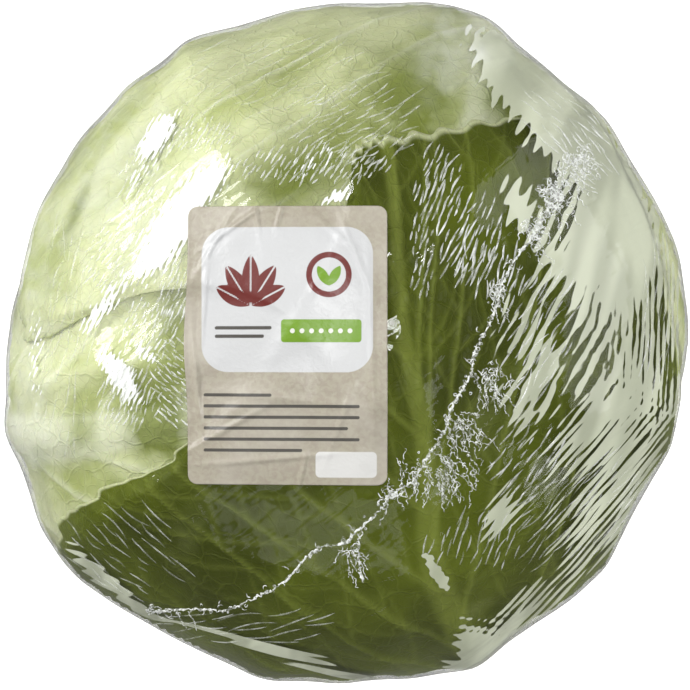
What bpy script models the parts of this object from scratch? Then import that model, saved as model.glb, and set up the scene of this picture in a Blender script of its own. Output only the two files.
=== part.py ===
"""A green cabbage in clear stretch film, with a paper label over its crown. It stands on its stem end.

Metres, +Z up, with the origin on the surface that it stands on, under the middle of its outline. Looking
down on the crown, +X is to the right. The head is round, so each piece is laid out by its direction from
the middle of the head, and its radius says how far out it lies there. The pieces are built from the inside
out, and each is draped over those before it.
"""

import math

import bmesh
import bpy
import numpy as np
from mathutils import Vector
from mathutils.bvhtree import BVHTree

# The middle of the head, which stands a little off the middle of the film's outline
MIDDLE_HEIGHT = 0.0840
MIDDLE_OFFSET = (0.00095, -0.00025)

# The packed head, measured from its middle, with the edges of its leaves as steps round it
HEAD_HALF_WIDTH = 0.0861
HEAD_ABOVE = 0.0705
HEAD_BELOW = 0.0725
HEAD_FULLNESS = 2.35
HEAD_RINGS = 20
HEAD_SPOKES = 34
HEAD_EDGE_STEP = 0.0012
HEAD_EDGE_COUNT = 5
HEAD_EDGE_REACH = 84
HEAD_EDGE_SHORTER = 4
HEAD_EDGE_SOFTNESS = 1.5
HEAD_EDGE_LEAN = 18
HEAD_EDGE_AZIMUTH = 32
SPIRAL_STEP = 137.5

# Where the head's girth is fuller or flatter than round: azimuth, half width in degrees, and height
SWELLINGS = (
    (10, 18, 0.0032),
    (48, 12, 0.0030),
    (74, 10, 0.0058),
    (110, 13, -0.0026),
    (150, 22, -0.0030),
    (188, 12, 0.0028),
    (213, 9, 0.0052),
    (248, 22, -0.0030),
    (280, 9, -0.0010),
    (318, 18, -0.0016),
)

# The stump
STEM_CUT_RADIUS = 0.0155
STEM_TOP_RADIUS = 0.0122
STEM_CUT_HEIGHT = 0.0018
STEM_SIDES = 22
STEM_BEVEL = 0.0012
STEM_GAP = 0.0006

# Wrapper leaves. Each is laid flat in degrees about its own middle, across and along, with its tip up.
LEAF_MIDDLE_ELEVATION = 25
LEAF_THICKNESS = 0.0010
LEAF_GAP = 0.0010
LEAF_COLUMNS = 14
LEAF_ROWS = 16
COLUMN_CROWDING = 1.4
RIB_HEIGHT_AT_BASE = 0.0046
RIB_HEIGHT_AT_TIP = 0.0005
RIB_HALF_WIDTH_AT_BASE = 0.0095
RIB_HALF_WIDTH_AT_TIP = 0.0030
DRAPE_SLOPE = 0.32
DRAPE_REACH = 3
DRAPE_FINENESS = 5
SETTLE_PASSES = 6
EDGE_WAVE = 1.6
EDGE_WAVES = 3.5
EDGE_WAVE_SHIFT = 1.7
TIP_BOW = 5

# The three outermost leaves as the photograph shows them, then the shape of the leaves beneath.
# Each has its azimuth, and its left edge, rib and right edge at eight stations from base to tip.
LEAF_1 = (
    -68,
    ((-22, -100), (-50, -72), (-72, -38), (-76, -2), (-64, 28), (-43, 49), (-14, 70), (16, 89)),
    ((0, -103), (0, -75), (0, -40), (0, -10), (-1, 21), (6, 42), (14, 66), (33, 93)),
    ((22, -100), (36, -78), (50, -45), (56, -10), (62, 18), (78, 32), (88, 44), (80, 57)),
)
LEAF_2 = (
    67,
    ((-22, -100), (-46, -74), (-64, -40), (-72, -4), (-70, 26), (-56, 48), (-38, 62), (-22, 70)),
    ((0, -103), (0, -75), (0, -42), (-2, -12), (-6, 15), (-9, 36), (-8, 54), (-2, 72)),
    ((22, -100), (48, -72), (70, -38), (84, 0), (91, 34), (83, 52), (55, 58), (28, 50)),
)
LEAF_3 = (
    195,
    ((-22, -100), (-48, -74), (-68, -40), (-78, -4), (-70, 28), (-52, 48), (-34, 60), (-16, 66)),
    ((0, -103), (0, -75), (0, -42), (1, -12), (4, 14), (6, 34), (6, 52), (4, 68)),
    ((22, -100), (46, -74), (64, -40), (74, -4), (72, 26), (58, 46), (42, 58), (24, 66)),
)
INNER_LEAF_AZIMUTHS = (340, 117, 254)
INNER_LEAF_LEFT = (
    (-20, -100), (-42, -74), (-58, -40), (-66, -6), (-60, 20), (-46, 38), (-30, 50), (-14, 56)
)
INNER_LEAF_RIB = ((0, -103), (0, -75), (0, -42), (2, -12), (4, 12), (4, 30), (2, 46), (0, 58))
INNER_LEAF_RIGHT = (
    (20, -100), (44, -74), (60, -40), (68, -6), (62, 20), (48, 38), (32, 50), (14, 56)
)

# The film, with an opening under the stump and a flat ring round it that the cabbage stands on
FILM_THICKNESS = 0.0006
FILM_GAP = 0.0016
FILM_COLUMNS = 44
FILM_RINGS = 24
FILM_OPENING_RADIUS = 0.0175
FILM_FOOT_RADIUS = 0.0340
FILM_FOOT_RING = 3
FILM_PLEAT = 0.0012
FILM_PLEAT_REACH = 62
HULL_PROBES = 8
HULL_PROBE_REACH = 3

# The label, as it is seen from above
LABEL_MIDDLE = (-0.0155, -0.0008)
LABEL_WIDTH = 0.0525
LABEL_LENGTH = 0.0732
LABEL_CORNER_RADIUS = 0.0026
LABEL_THICKNESS = 0.0006
LABEL_GAP = 0.0009
LABEL_COLUMNS = 8
LABEL_ROWS = 12

# Colours
HEAD_COLOUR = (0.62, 0.72, 0.40)
LEAF_COLOURS = (
    (0.19, 0.27, 0.04),
    (0.66, 0.74, 0.45),
    (0.55, 0.65, 0.32),
    (0.58, 0.68, 0.36),
    (0.60, 0.70, 0.38),
    (0.62, 0.72, 0.40),
)
STEM_COLOUR = (0.72, 0.74, 0.55)
FILM_COLOUR = (0.93, 0.95, 0.93)
LABEL_COLOUR = (0.78, 0.74, 0.67)

MIDDLE = Vector((*MIDDLE_OFFSET, MIDDLE_HEIGHT))
FAR = 0.5


def material(name, colour, roughness, alpha=1.0):
    """A plain material of one colour."""
    made = bpy.data.materials.new(name)
    made.use_nodes = True
    shader = made.node_tree.nodes["Principled BSDF"]
    shader.inputs["Base Color"].default_value = (*colour, 1.0)
    shader.inputs["Roughness"].default_value = roughness
    shader.inputs["Metallic"].default_value = 0.0
    shader.inputs["Alpha"].default_value = alpha
    made.diffuse_color = (*colour, alpha)
    return made


def add_object(name, bm, collection, finish, smooth_under=40):
    """An object made from bm, shaded smooth where its faces meet at less than smooth_under degrees."""
    bmesh.ops.recalc_face_normals(bm, faces=bm.faces)
    mesh = bpy.data.meshes.new(name)
    bm.to_mesh(mesh)
    mesh.shade_smooth()
    mesh.set_sharp_from_angle(angle=math.radians(smooth_under))
    mesh.materials.append(finish)
    obj = bpy.data.objects.new(name, mesh)
    collection.objects.link(obj)
    return obj


def direction_at(azimuth, elevation):
    """The unit vector at an azimuth and an elevation in degrees."""
    turn = math.radians(azimuth)
    lean = math.radians(elevation)
    return Vector((math.cos(lean) * math.cos(turn), math.cos(lean) * math.sin(turn), math.sin(lean)))


def smooth_curve(stations, shares):
    """Points on a smooth curve through the stations, which are evenly spaced over shares 0 to 1."""
    stations = np.asarray(stations, float)
    ends = np.vstack([2 * stations[0] - stations[1], stations, 2 * stations[-1] - stations[-2]])
    place = np.clip(np.asarray(shares, float), 0, 1) * (len(stations) - 1)
    first = np.minimum(place.astype(int), len(stations) - 2)
    t = (place - first)[..., None]
    before, start, end, after = (ends[first + step] for step in range(4))
    bend = 2 * before - 5 * start + 4 * end - after
    twist = 3 * (start - end) + after - before
    return start + 0.5 * t * (end - before + t * (bend + t * twist))


def surface_radius(trees, directions):
    """How far out the outermost of these surfaces lies in each direction, or 0 where there is none."""
    found = np.zeros(directions.shape[:-1])
    for index in np.ndindex(found.shape):
        direction = Vector(directions[index])
        for tree in trees:
            distance = tree.ray_cast(MIDDLE + direction * FAR, -direction)[3]
            if distance is not None:
                found[index] = max(found[index], FAR - distance)
    return found


def drape(heights, positions, slope, passes):
    """Heights raised so that a sheet over them falls away from each high place no faster than slope."""
    draped = heights.copy()
    for _ in range(passes):
        for axis in (0, 1):
            for way in (1, -1):
                near = np.roll(draped, way, axis)
                step = np.linalg.norm(np.roll(positions, way, axis) - positions, axis=-1)
                edge = [slice(None), slice(None)]
                edge[axis] = 0 if way == 1 else -1
                near[tuple(edge)] = -1
                draped = np.maximum(draped, near - slope * step)
    return draped


def highest_nearby(fine, reach):
    """The highest value within reach steps of every reach-th place in a fine grid."""
    padded = np.pad(fine, reach, mode="edge")
    highest = np.full(fine[::reach, ::reach].shape, -np.inf)
    columns, rows = highest.shape
    for column in range(2 * reach + 1):
        for row in range(2 * reach + 1):
            shifted = padded[column::reach, row::reach][:columns, :rows]
            highest = np.maximum(highest, shifted)
    return highest


def plain_radius(directions):
    """The smooth shape under everything: an upper and a lower half, with swellings round its girth."""
    rise = directions[..., 2]
    half_height = np.where(rise > 0, HEAD_ABOVE, HEAD_BELOW)
    sideways = (np.sqrt(np.maximum(1 - rise**2, 0)) / HEAD_HALF_WIDTH) ** HEAD_FULLNESS
    upright = (np.abs(rise) / half_height) ** HEAD_FULLNESS
    radius = (sideways + upright) ** (-1 / HEAD_FULLNESS)
    azimuth = np.degrees(np.arctan2(directions[..., 1], directions[..., 0]))
    for middle, half_width, height in SWELLINGS:
        turn = (azimuth - middle + 180) % 360 - 180
        radius = radius + height * np.exp(-((turn / half_width) ** 2)) * (1 - rise**2) ** 2
    return radius


def head_radius(directions):
    """The packed head, with the edges of its leaves as steps round it."""
    radius = plain_radius(directions) - HEAD_EDGE_STEP * HEAD_EDGE_COUNT / 2
    for edge in range(HEAD_EDGE_COUNT):
        facing = np.array(direction_at(HEAD_EDGE_AZIMUTH + SPIRAL_STEP * edge, HEAD_EDGE_LEAN))
        away = np.degrees(np.arccos(np.clip(directions @ facing, -1, 1)))
        past = (away - HEAD_EDGE_REACH + HEAD_EDGE_SHORTER * edge) / HEAD_EDGE_SOFTNESS
        radius = radius + HEAD_EDGE_STEP / (1 + np.exp(past))
    return radius


def build_head(collection, under):
    bm = bmesh.new()
    bmesh.ops.create_uvsphere(bm, u_segments=HEAD_SPOKES, v_segments=HEAD_RINGS, radius=1)
    for vert in bm.verts:
        direction = np.array(vert.co.normalized())
        vert.co = MIDDLE + Vector(direction * head_radius(direction))
    bmesh.ops.triangulate(bm, faces=bm.faces)
    under.append(BVHTree.FromBMesh(bm))
    add_object("head", bm, collection, material("head_leaf", HEAD_COLOUR, 0.45))
    bm.free()


def build_stem(collection):
    """A stump that widens towards its cut face, up to just under the packed head."""
    top = MIDDLE_HEIGHT - float(head_radius(np.array([0.0, 0.0, -1.0]))) - STEM_GAP
    bm = bmesh.new()
    bmesh.ops.create_cone(
        bm,
        cap_ends=True,
        segments=STEM_SIDES,
        radius1=STEM_CUT_RADIUS,
        radius2=STEM_TOP_RADIUS,
        depth=top - STEM_CUT_HEIGHT,
    )
    bmesh.ops.translate(bm, verts=bm.verts, vec=(*MIDDLE_OFFSET, (top + STEM_CUT_HEIGHT) / 2))
    stem = add_object("stem", bm, collection, material("stem_cut", STEM_COLOUR, 0.6))
    bm.free()
    bevel = stem.modifiers.new("cut_edge", "BEVEL")
    bevel.width = STEM_BEVEL
    bevel.segments = 2
    bevel.limit_method = "ANGLE"


def leaf_directions(azimuth, flat):
    """Directions for flat places on a leaf, in degrees across and along from its middle."""
    out = np.array(direction_at(azimuth, LEAF_MIDDLE_ELEVATION))
    up = np.array(direction_at(azimuth, LEAF_MIDDLE_ELEVATION + 90))
    right = np.array(direction_at(azimuth + 90, 0))
    distance = np.hypot(flat[..., 0], flat[..., 1])[..., None]
    reach = np.radians(distance)
    way = flat / np.maximum(distance, 1e-6)
    sideways = way[..., :1] * right + way[..., 1:] * up
    return np.cos(reach) * out + np.sin(reach) * sideways


def leaf_flat(leaf, across, along, wave_start):
    """Flat places on a leaf, with across -1 at its left edge, 0 at its rib and 1 at its right edge, and along
    0 at its base and 1 at its tip."""
    _, left, rib, right = leaf
    spine = smooth_curve(rib, along)
    edge = np.where(across[..., None] < 0, smooth_curve(left, along), smooth_curve(right, along))
    wave = EDGE_WAVE * np.sin(2 * math.pi * EDGE_WAVES * along + wave_start) * across**4
    flat = spine + np.abs(across)[..., None] * (edge - spine)
    flat[..., 0] += np.sign(across) * wave
    bow = 4 * np.abs(across) * (1 - np.abs(across)) * along**4
    flat[..., 1] += TIP_BOW * bow
    return flat


def rib_thickness(flat, spine, along):
    """How far the rib stands out of the blade at each flat place. spine is the rib's middle there."""
    reach = np.radians(np.hypot(flat[..., 0], flat[..., 1]))
    across = np.radians(flat[..., 0] - spine[..., 0]) * np.sinc(reach / math.pi) * HEAD_HALF_WIDTH
    height = RIB_HEIGHT_AT_BASE + (RIB_HEIGHT_AT_TIP - RIB_HEIGHT_AT_BASE) * along
    half_width = RIB_HALF_WIDTH_AT_BASE + (RIB_HALF_WIDTH_AT_TIP - RIB_HALF_WIDTH_AT_BASE) * along
    return height * np.exp(-((across / half_width) ** 2))


def settle(bm, cells, directions, below):
    """Lays a coarse sheet over what is below it, lifted until it clears that everywhere.

    cells gives each vertex's column and row. directions and below hold a finer grid of the same sheet.
    """
    plain = plain_radius(directions)
    spread = directions * HEAD_HALF_WIDTH
    draped = plain + drape(below - plain, spread, DRAPE_SLOPE, DRAPE_REACH * DRAPE_FINENESS)
    radius = draped[::DRAPE_FINENESS, ::DRAPE_FINENESS] + LEAF_GAP
    coarse = directions[::DRAPE_FINENESS, ::DRAPE_FINENESS]
    for attempt in range(SETTLE_PASSES + 1):
        for vert, cell in zip(bm.verts, cells):
            vert.co = MIDDLE + Vector(coarse[cell] * radius[cell])
        if attempt < SETTLE_PASSES:
            lies = surface_radius([BVHTree.FromBMesh(bm)], directions)
            short = np.where(lies > 0, below + LEAF_GAP - lies, 0.0)
            radius += np.maximum(highest_nearby(short, DRAPE_FINENESS), 0)


def build_leaf(name, leaf, collection, under, finish, wave_start):
    """A wrapper leaf draped over what is under it, with its rib standing out of its outer face."""
    azimuth, _, rib, _ = leaf
    side = np.linspace(-1, 1, LEAF_COLUMNS * DRAPE_FINENESS + 1)
    side = np.sign(side) * np.abs(side) ** COLUMN_CROWDING
    length = np.linspace(0, 1, LEAF_ROWS * DRAPE_FINENESS + 1)
    across, along = np.meshgrid(side, length, indexing="ij")
    flat = leaf_flat(leaf, across, along, wave_start)
    directions = leaf_directions(azimuth, flat)
    thickness = LEAF_THICKNESS + rib_thickness(flat, smooth_curve(rib, along), along)

    bm = bmesh.new()
    bmesh.ops.create_grid(bm, x_segments=LEAF_COLUMNS, y_segments=LEAF_ROWS, size=1)
    bmesh.ops.triangulate(bm, faces=bm.faces)
    cells = [
        (round((vert.co.x + 1) / 2 * LEAF_COLUMNS), round((vert.co.y + 1) / 2 * LEAF_ROWS))
        for vert in bm.verts
    ]
    settle(bm, cells, directions, surface_radius(under, directions))
    fine = [(column * DRAPE_FINENESS, row * DRAPE_FINENESS) for column, row in cells]
    outward = [Vector(directions[cell] * thickness[cell]) for cell in fine]
    raise_outer_face(bm, outward)
    under.append(BVHTree.FromBMesh(bm))
    add_object(name, bm, collection, finish)
    bm.free()


def raise_outer_face(bm, outward):
    """Closes an open sheet into a solid. Each vertex's twin on the outer face lies outward from it, and the
    outer face is split into the same triangles."""
    places = [vert.co.copy() for vert in bm.verts]
    tag = bm.verts.layers.int.new("sheet_vertex")
    for index, vert in enumerate(bm.verts):
        vert[tag] = index
    made = bmesh.ops.extrude_face_region(bm, geom=bm.faces[:], use_keep_orig=True)["geom"]
    for vert in made:
        if isinstance(vert, bmesh.types.BMVert):
            vert.co = places[vert[tag]] + outward[vert[tag]]


def film_hull(collection):
    """The tight convex skin round the leaves and the ring that the cabbage stands on, as a search tree."""
    bm = bmesh.new()
    for obj in collection.objects:
        bm.from_mesh(obj.data)
    for step in range(FILM_COLUMNS):
        turn = 2 * math.pi * step / FILM_COLUMNS
        place = Vector((math.cos(turn), math.sin(turn), 0)) * (FILM_FOOT_RADIUS - FILM_GAP)
        bm.verts.new(place + Vector((*MIDDLE_OFFSET, FILM_THICKNESS)))
    hull = bmesh.ops.convex_hull(bm, input=bm.verts[:], use_existing_faces=False)
    bmesh.ops.delete(bm, geom=hull["geom_interior"] + hull["geom_unused"], context="VERTS")
    tree = BVHTree.FromBMesh(bm)
    bm.free()
    return tree


def hull_radius(hull, direction):
    """The hull's radius in a direction, and the highest one close round it."""
    side = direction.orthogonal().normalized()
    other = direction.cross(side)
    probes = [direction]
    for step in range(HULL_PROBES):
        turn = 2 * math.pi * step / HULL_PROBES
        away = (side * math.cos(turn) + other * math.sin(turn)) * math.radians(HULL_PROBE_REACH)
        probes.append((direction + away).normalized())
    return max(FAR - hull.ray_cast(MIDDLE + probe * FAR, -probe)[3] for probe in probes)


def build_film(collection, under):
    """Clear film drawn over the high places, gathered in pleats round an opening under the stump."""
    hull = film_hull(collection)
    opening = math.atan2(FILM_OPENING_RADIUS, MIDDLE_HEIGHT)
    foot = math.atan2(FILM_FOOT_RADIUS, MIDDLE_HEIGHT)
    rings = np.concatenate([[0, opening, (opening + foot) / 2], np.linspace(foot, math.pi, FILM_RINGS - 2)])
    bm = bmesh.new()
    bmesh.ops.create_uvsphere(bm, u_segments=FILM_COLUMNS, v_segments=FILM_RINGS, radius=1)
    lowest = min(bm.verts, key=lambda vert: vert.co.z)
    bmesh.ops.delete(bm, geom=[lowest], context="VERTS")
    bmesh.ops.triangulate(bm, faces=bm.faces)
    angle_step = math.pi / FILM_RINGS
    outward = []
    for vert in bm.verts:
        ring = round(math.acos(max(-1.0, min(1.0, -vert.co.z))) / angle_step)
        turn = math.atan2(vert.co.y, vert.co.x)
        tilt = rings[ring]
        direction = direction_at(math.degrees(turn), math.degrees(tilt) - 90)
        if ring <= FILM_FOOT_RING:
            radius = (MIDDLE_HEIGHT - FILM_THICKNESS) / math.cos(tilt)
            outward.append(Vector((0, 0, -FILM_THICKNESS)))
        else:
            radius = hull_radius(hull, direction) + FILM_GAP
            outward.append(direction * FILM_THICKNESS)
            fade = max(0.0, 1 - math.degrees(tilt - foot) / FILM_PLEAT_REACH)
            radius += FILM_PLEAT * fade * (0.5 + 0.5 * math.cos(turn * FILM_COLUMNS / 2))
        vert.co = MIDDLE + direction * radius
    raise_outer_face(bm, outward)
    under.append(BVHTree.FromBMesh(bm))
    add_object("film", bm, collection, material("clear_film", FILM_COLOUR, 0.08, 0.2))
    bm.free()


def build_label(collection, under):
    """A paper label with rounded corners, laid on the film over the crown."""
    film = under[-1]
    bm = bmesh.new()
    bmesh.ops.create_grid(bm, x_segments=LABEL_COLUMNS, y_segments=LABEL_ROWS, size=1)
    bmesh.ops.triangulate(bm, faces=bm.faces)
    half_width = LABEL_WIDTH / 2
    half_length = LABEL_LENGTH / 2
    core = np.array([half_width - LABEL_CORNER_RADIUS, half_length - LABEL_CORNER_RADIUS])
    outward = []
    for vert in bm.verts:
        place = np.array([vert.co.x * half_width, vert.co.y * half_length])
        past = np.maximum(np.abs(place) - core, 0)
        if past.all():
            past *= LABEL_CORNER_RADIUS / np.hypot(*past)
            place = np.sign(place) * (core + past)
        start = Vector((LABEL_MIDDLE[0] + place[0], LABEL_MIDDLE[1] + place[1], FAR))
        touch = film.ray_cast(start, Vector((0, 0, -1)))[0]
        direction = (touch - MIDDLE).normalized()
        vert.co = touch + direction * LABEL_GAP
        outward.append(direction * LABEL_THICKNESS)
    raise_outer_face(bm, outward)
    add_object("label", bm, collection, material("label_paper", LABEL_COLOUR, 0.5))
    bm.free()


def main():
    for obj in list(bpy.data.objects):
        bpy.data.objects.remove(obj)
    cabbage = bpy.data.collections.new("cabbage")
    bpy.context.scene.collection.children.link(cabbage)

    under = []
    build_head(cabbage, under)
    build_stem(cabbage)
    inner_leaves = [
        (azimuth, INNER_LEAF_LEFT, INNER_LEAF_RIB, INNER_LEAF_RIGHT) for azimuth in INNER_LEAF_AZIMUTHS
    ]
    leaves = [LEAF_1, LEAF_2, LEAF_3, *inner_leaves]
    for number in range(len(leaves), 0, -1):
        finish = material(f"leaf_{number}_blade", LEAF_COLOURS[number - 1], 0.45)
        wave_start = EDGE_WAVE_SHIFT * number
        build_leaf(f"leaf_{number}", leaves[number - 1], cabbage, under, finish, wave_start)
    build_film(cabbage, under)
    build_label(cabbage, under)


main()
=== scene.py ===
"""The looks of a green cabbage in clear stretch film, with a paper label over its crown.

Metres, +Z up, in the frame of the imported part. The camera looks straight down on the crown, with +X to the
right of the picture and +Y up. Every piece is laid out by its direction from the middle of the head, and
the pieces are built from the inside out, each over those before it. Places on the crown are given as plan
places: x and y in millimetres, as seen from above.
"""

import math

import bmesh
import bpy
import numpy as np
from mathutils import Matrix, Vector, noise
from mathutils.bvhtree import BVHTree
from mathutils.kdtree import KDTree


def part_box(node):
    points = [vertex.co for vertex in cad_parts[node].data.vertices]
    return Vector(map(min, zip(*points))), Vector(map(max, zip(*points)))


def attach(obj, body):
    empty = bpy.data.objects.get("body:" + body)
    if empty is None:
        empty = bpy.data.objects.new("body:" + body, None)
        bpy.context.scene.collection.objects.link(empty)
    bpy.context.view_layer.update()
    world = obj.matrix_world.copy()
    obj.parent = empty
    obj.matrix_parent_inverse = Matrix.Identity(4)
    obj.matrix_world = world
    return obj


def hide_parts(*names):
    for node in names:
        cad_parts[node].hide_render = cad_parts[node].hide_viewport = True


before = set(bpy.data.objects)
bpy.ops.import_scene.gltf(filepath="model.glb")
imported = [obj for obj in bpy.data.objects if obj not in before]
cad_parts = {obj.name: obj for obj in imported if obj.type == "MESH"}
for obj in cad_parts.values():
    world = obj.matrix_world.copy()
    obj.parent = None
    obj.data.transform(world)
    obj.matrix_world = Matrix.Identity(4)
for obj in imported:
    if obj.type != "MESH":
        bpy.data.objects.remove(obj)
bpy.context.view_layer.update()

MM = 0.001
FAR = 0.5
SEED = 7

# The head's middle and its smooth shape under everything, as in the solids
MIDDLE = Vector((0.00095, -0.00025, 0.0840))
HEAD_HALF_WIDTH = 0.0861
HEAD_ABOVE = 0.0705
HEAD_BELOW = 0.0725
HEAD_FULLNESS = 2.35
SWELLINGS = (
    (10, 18, 0.0032),
    (48, 12, 0.0030),
    (74, 10, 0.0058),
    (110, 13, -0.0026),
    (150, 22, -0.0030),
    (188, 12, 0.0028),
    (213, 9, 0.0052),
    (248, 22, -0.0030),
    (280, 9, -0.0010),
    (318, 18, -0.0016),
)
# How the photograph's outline differs further from the solids'
OUTLINE_CORRECTIONS = (
    (15, 10, -0.0020),
    (102, 14, 0.0016),
    (122, 5, -0.0022),
    (172, 10, 0.0020),
    (190, 10, 0.0014),
    (213, 14, 0.0030),
    (228, 8, 0.0008),
    (300, 9, -0.0022),
    (340, 7, -0.0014),
)
HEAD_EDGE_STEP = 0.0012
HEAD_EDGE_COUNT = 5
HEAD_EDGE_REACH = 84
HEAD_EDGE_SHORTER = 4
HEAD_EDGE_SOFTNESS = 0.8
HEAD_EDGE_LEAN = 18
HEAD_EDGE_AZIMUTH = 32
SPIRAL_STEP = 137.5
HEAD_GRID = (160, 90)
HEAD_POLE_GAP = 0.001

# Wrapper leaves, laid flat in degrees across and along about a middle at this elevation
LEAF_MIDDLE_ELEVATION = 25
LEAF_THICKNESS = 0.0008
LEAF_GAP = 0.0016
LEAF_GAP_AT_EDGE = 0.3
LEAF_LIFT = 0.0012
LEAF_CLOSER_ON_CROWN = 0.42
LEAF_SLOPE = 0.32
LEAF_DRAPE_REACH = 0.017
LEAF_RIM_CELLS = 4
RIB_HEIGHT_AT_BASE = 0.0046
RIB_HEIGHT_AT_TIP = 0.0005
RIB_HALF_WIDTH_AT_BASE = 0.0095
RIB_HALF_WIDTH_AT_TIP = 0.0022
EDGE_WAVE = 1.6
EDGE_WAVES = 3.5
EDGE_WAVE_SHIFT = 1.7
EDGE_RAGGEDNESS = 0.7
RAGGED_WAVES = (11, 22, 33, 55)
TIP_RAGGEDNESS_PITCH = 37
TIP_BOW = 5
# About how far it is from a leaf's rib to its side and from its base to its tip, and how far in it thins
DEGREES_TO_SIDE = 60
DEGREES_TO_TIP = 90
DEGREES_OF_EDGE = 5
ROWS_TOWARDS_TIP = 0.85
DRAPE_SMOOTHING = 8
LEAF_STATIONS = {
    "leaf_1": (
        -68,
        ((-22, -100), (-50, -72), (-72, -38), (-76, -2), (-64, 28), (-43, 49), (-14, 70), (16, 89)),
        ((0, -103), (0, -75), (0, -40), (0, -10), (-1, 21), (6, 42), (14, 66), (33, 93)),
        ((22, -100), (36, -78), (50, -45), (56, -10), (62, 18), (78, 32), (88, 44), (80, 57)),
    ),
    "leaf_2": (
        67,
        ((-22, -100), (-46, -74), (-64, -40), (-72, -4), (-70, 26), (-56, 48), (-38, 62), (-22, 70)),
        ((0, -103), (0, -75), (0, -42), (-2, -12), (-6, 15), (-9, 36), (-8, 54), (-2, 72)),
        ((22, -100), (48, -72), (70, -38), (84, 0), (91, 34), (83, 52), (55, 58), (28, 50)),
    ),
    "leaf_3": (
        195,
        ((-22, -100), (-48, -74), (-68, -40), (-78, -4), (-70, 28), (-52, 48), (-34, 60), (-16, 66)),
        ((0, -103), (0, -75), (0, -42), (1, -12), (4, 14), (6, 34), (6, 52), (4, 68)),
        ((22, -100), (46, -74), (64, -40), (74, -4), (72, 26), (58, 46), (42, 58), (24, 66)),
    ),
}
INNER_LEAF_AZIMUTHS = (340, 117, 254)
INNER_LEAF_STATIONS = (
    ((-20, -100), (-42, -74), (-58, -40), (-66, -6), (-60, 20), (-46, 38), (-30, 50), (-14, 56)),
    ((0, -103), (0, -75), (0, -42), (2, -12), (4, 12), (4, 30), (2, 46), (0, 58)),
    ((20, -100), (44, -74), (60, -40), (68, -6), (62, 20), (48, 38), (32, 50), (14, 56)),
)
for place, leaf_azimuth in enumerate(INNER_LEAF_AZIMUTHS):
    LEAF_STATIONS[f"leaf_{4 + place}"] = (leaf_azimuth, *INNER_LEAF_STATIONS)
LEAF_GRIDS = {"leaf_1": (290, 290), "leaf_2": (260, 260), "leaf_3": (230, 230)}
INNER_LEAF_GRID = (110, 100)

# Veins, in degrees along the leaf, with their half widths in degrees (a degree is about 1.6 mm)
VEIN_STEP = 0.6
SIDE_VEINS_FROM = 0.10
SIDE_VEINS_OVER = 0.80
SIDE_VEINS = 9
SIDE_VEIN_LEAVES_AT = 26
SIDE_VEIN_TURN = 0.42
SIDE_VEIN_REACH = 92
SIDE_VEIN_WIDTHS = (0.70, 0.32)
TWIG_SPACING = 7.5
TWIG_LEAVES_AT = 44
TWIG_REACH = 24
TWIG_WIDTHS = (0.5, 0.3)
SIDE_VEIN_HEIGHT = 0.0008
TWIG_HEIGHT = 0.0003
PUCKER_HEIGHT = 0.0006
PUCKER_LENGTH = 0.013

# The stump
STEM_SIDES = 96
STEM_RINGS = 26
STEM_FACE_SHARE = 0.6
STEM_FACE_RADIUS = 0.94
STEM_HOLLOW = 0.0006
STEM_TAPER = 0.20

# The film
FILM_GRID = (400, 240)
FILM_OVER_HULL = 0.0011
FILM_OVER_LEAF = 0.0006
FILM_FOLLOWS = 0.45
FILM_OPENING_RADIUS = 0.0175
FILM_FOOT_RADIUS = 0.0340
FILM_PLEATS = 30
FILM_PLEAT_HEIGHT = 0.0011
FILM_PLEAT_REACH = 55
FILM_PLEAT_FADE = 1.5
FILM_FOOT_ROWS = 8
FILM_DEEPEST_FOLLOWED = 0.003
FILM_SMOOTHING = 5
FILM_OVER_FLOOR = 0.0002
FILM_POLE_GAP = 0.00001
HULL_STEP = 5

# The crease that crosses the film, as plan places from its lower left end to its upper right end
CREASE = (
    (-54.8, -74.1), (-45.7, -72.3), (-35.7, -72.3), (-31, -71.5), (-23.1, -67.6), (-17.2, -64.2),
    (-10.6, -57.2), (-6.6, -54), (0, -52.9), (1.5, -50.7), (5.2, -47.5), (9.9, -43),
    (11.4, -39.8), (16.4, -37), (19.5, -33), (22.9, -27.5), (26, -22.6), (27.8, -16.6),
    (30.2, -12.7), (32.8, -7.7), (33.3, -3.6), (35.1, 0.6), (38.6, 6.9), (41, 14.2), (42.9, 19.2),
    (46.7, 24.7), (49.9, 29), (52.8, 33.9), (55, 37.7), (57.1, 41.5), (59, 46.8), (64.3, 50.4),
)
CREASE_BRANCH = ((3.1, -50.5), (3.4, -58.0), (4.4, -63.5))
# Knots of crackled film round the crease: x, y, spread in x and in y, how many threads each has, the share
# of them that close into loops, and how many strands hang from it
CREASE_KNOTS = (
    (37.8, -10.4, 6, 4, 26, 0.12, 22),
    (30.5, -23.4, 6.5, 6, 30, 0.06, 26),
    (24, -34, 11, 6, 40, 0.04, 44),
    (11.4, -39.8, 1.5, 1.5, 18, 0, 2),
    (55, 38, 4, 7, 90, 0.45, 6),
    (62, 47, 5, 5, 70, 0.30, 8),
    (50, 28.5, 3, 5, 44, 0.40, 4),
    (40, 12.5, 2.5, 3, 24, 0.10, 6),
    (2, -56, 3, 4, 12, 0, 9),
    (-48, -73, 8, 1, 12, 0, 2),
)
THREAD_HALF_WIDTH = 0.00013
THREAD_HEIGHT = 0.0003
THREAD_POINTS = 9
LOOP_POINTS = 15
STRAND_POINTS = 19
STRAND_STEP = 0.42
CREASE_HALF_WIDTH = 0.00042
CREASE_HEIGHT = 0.0006
CREASE_JITTER = 0.22
CREASE_POINTS_A_STATION = 14
THREADS_ALONG_CREASE = 150
RIDGE_OVER_FILM = 0.00005
RIDGE_LEAST_RISE = 0.12

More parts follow.
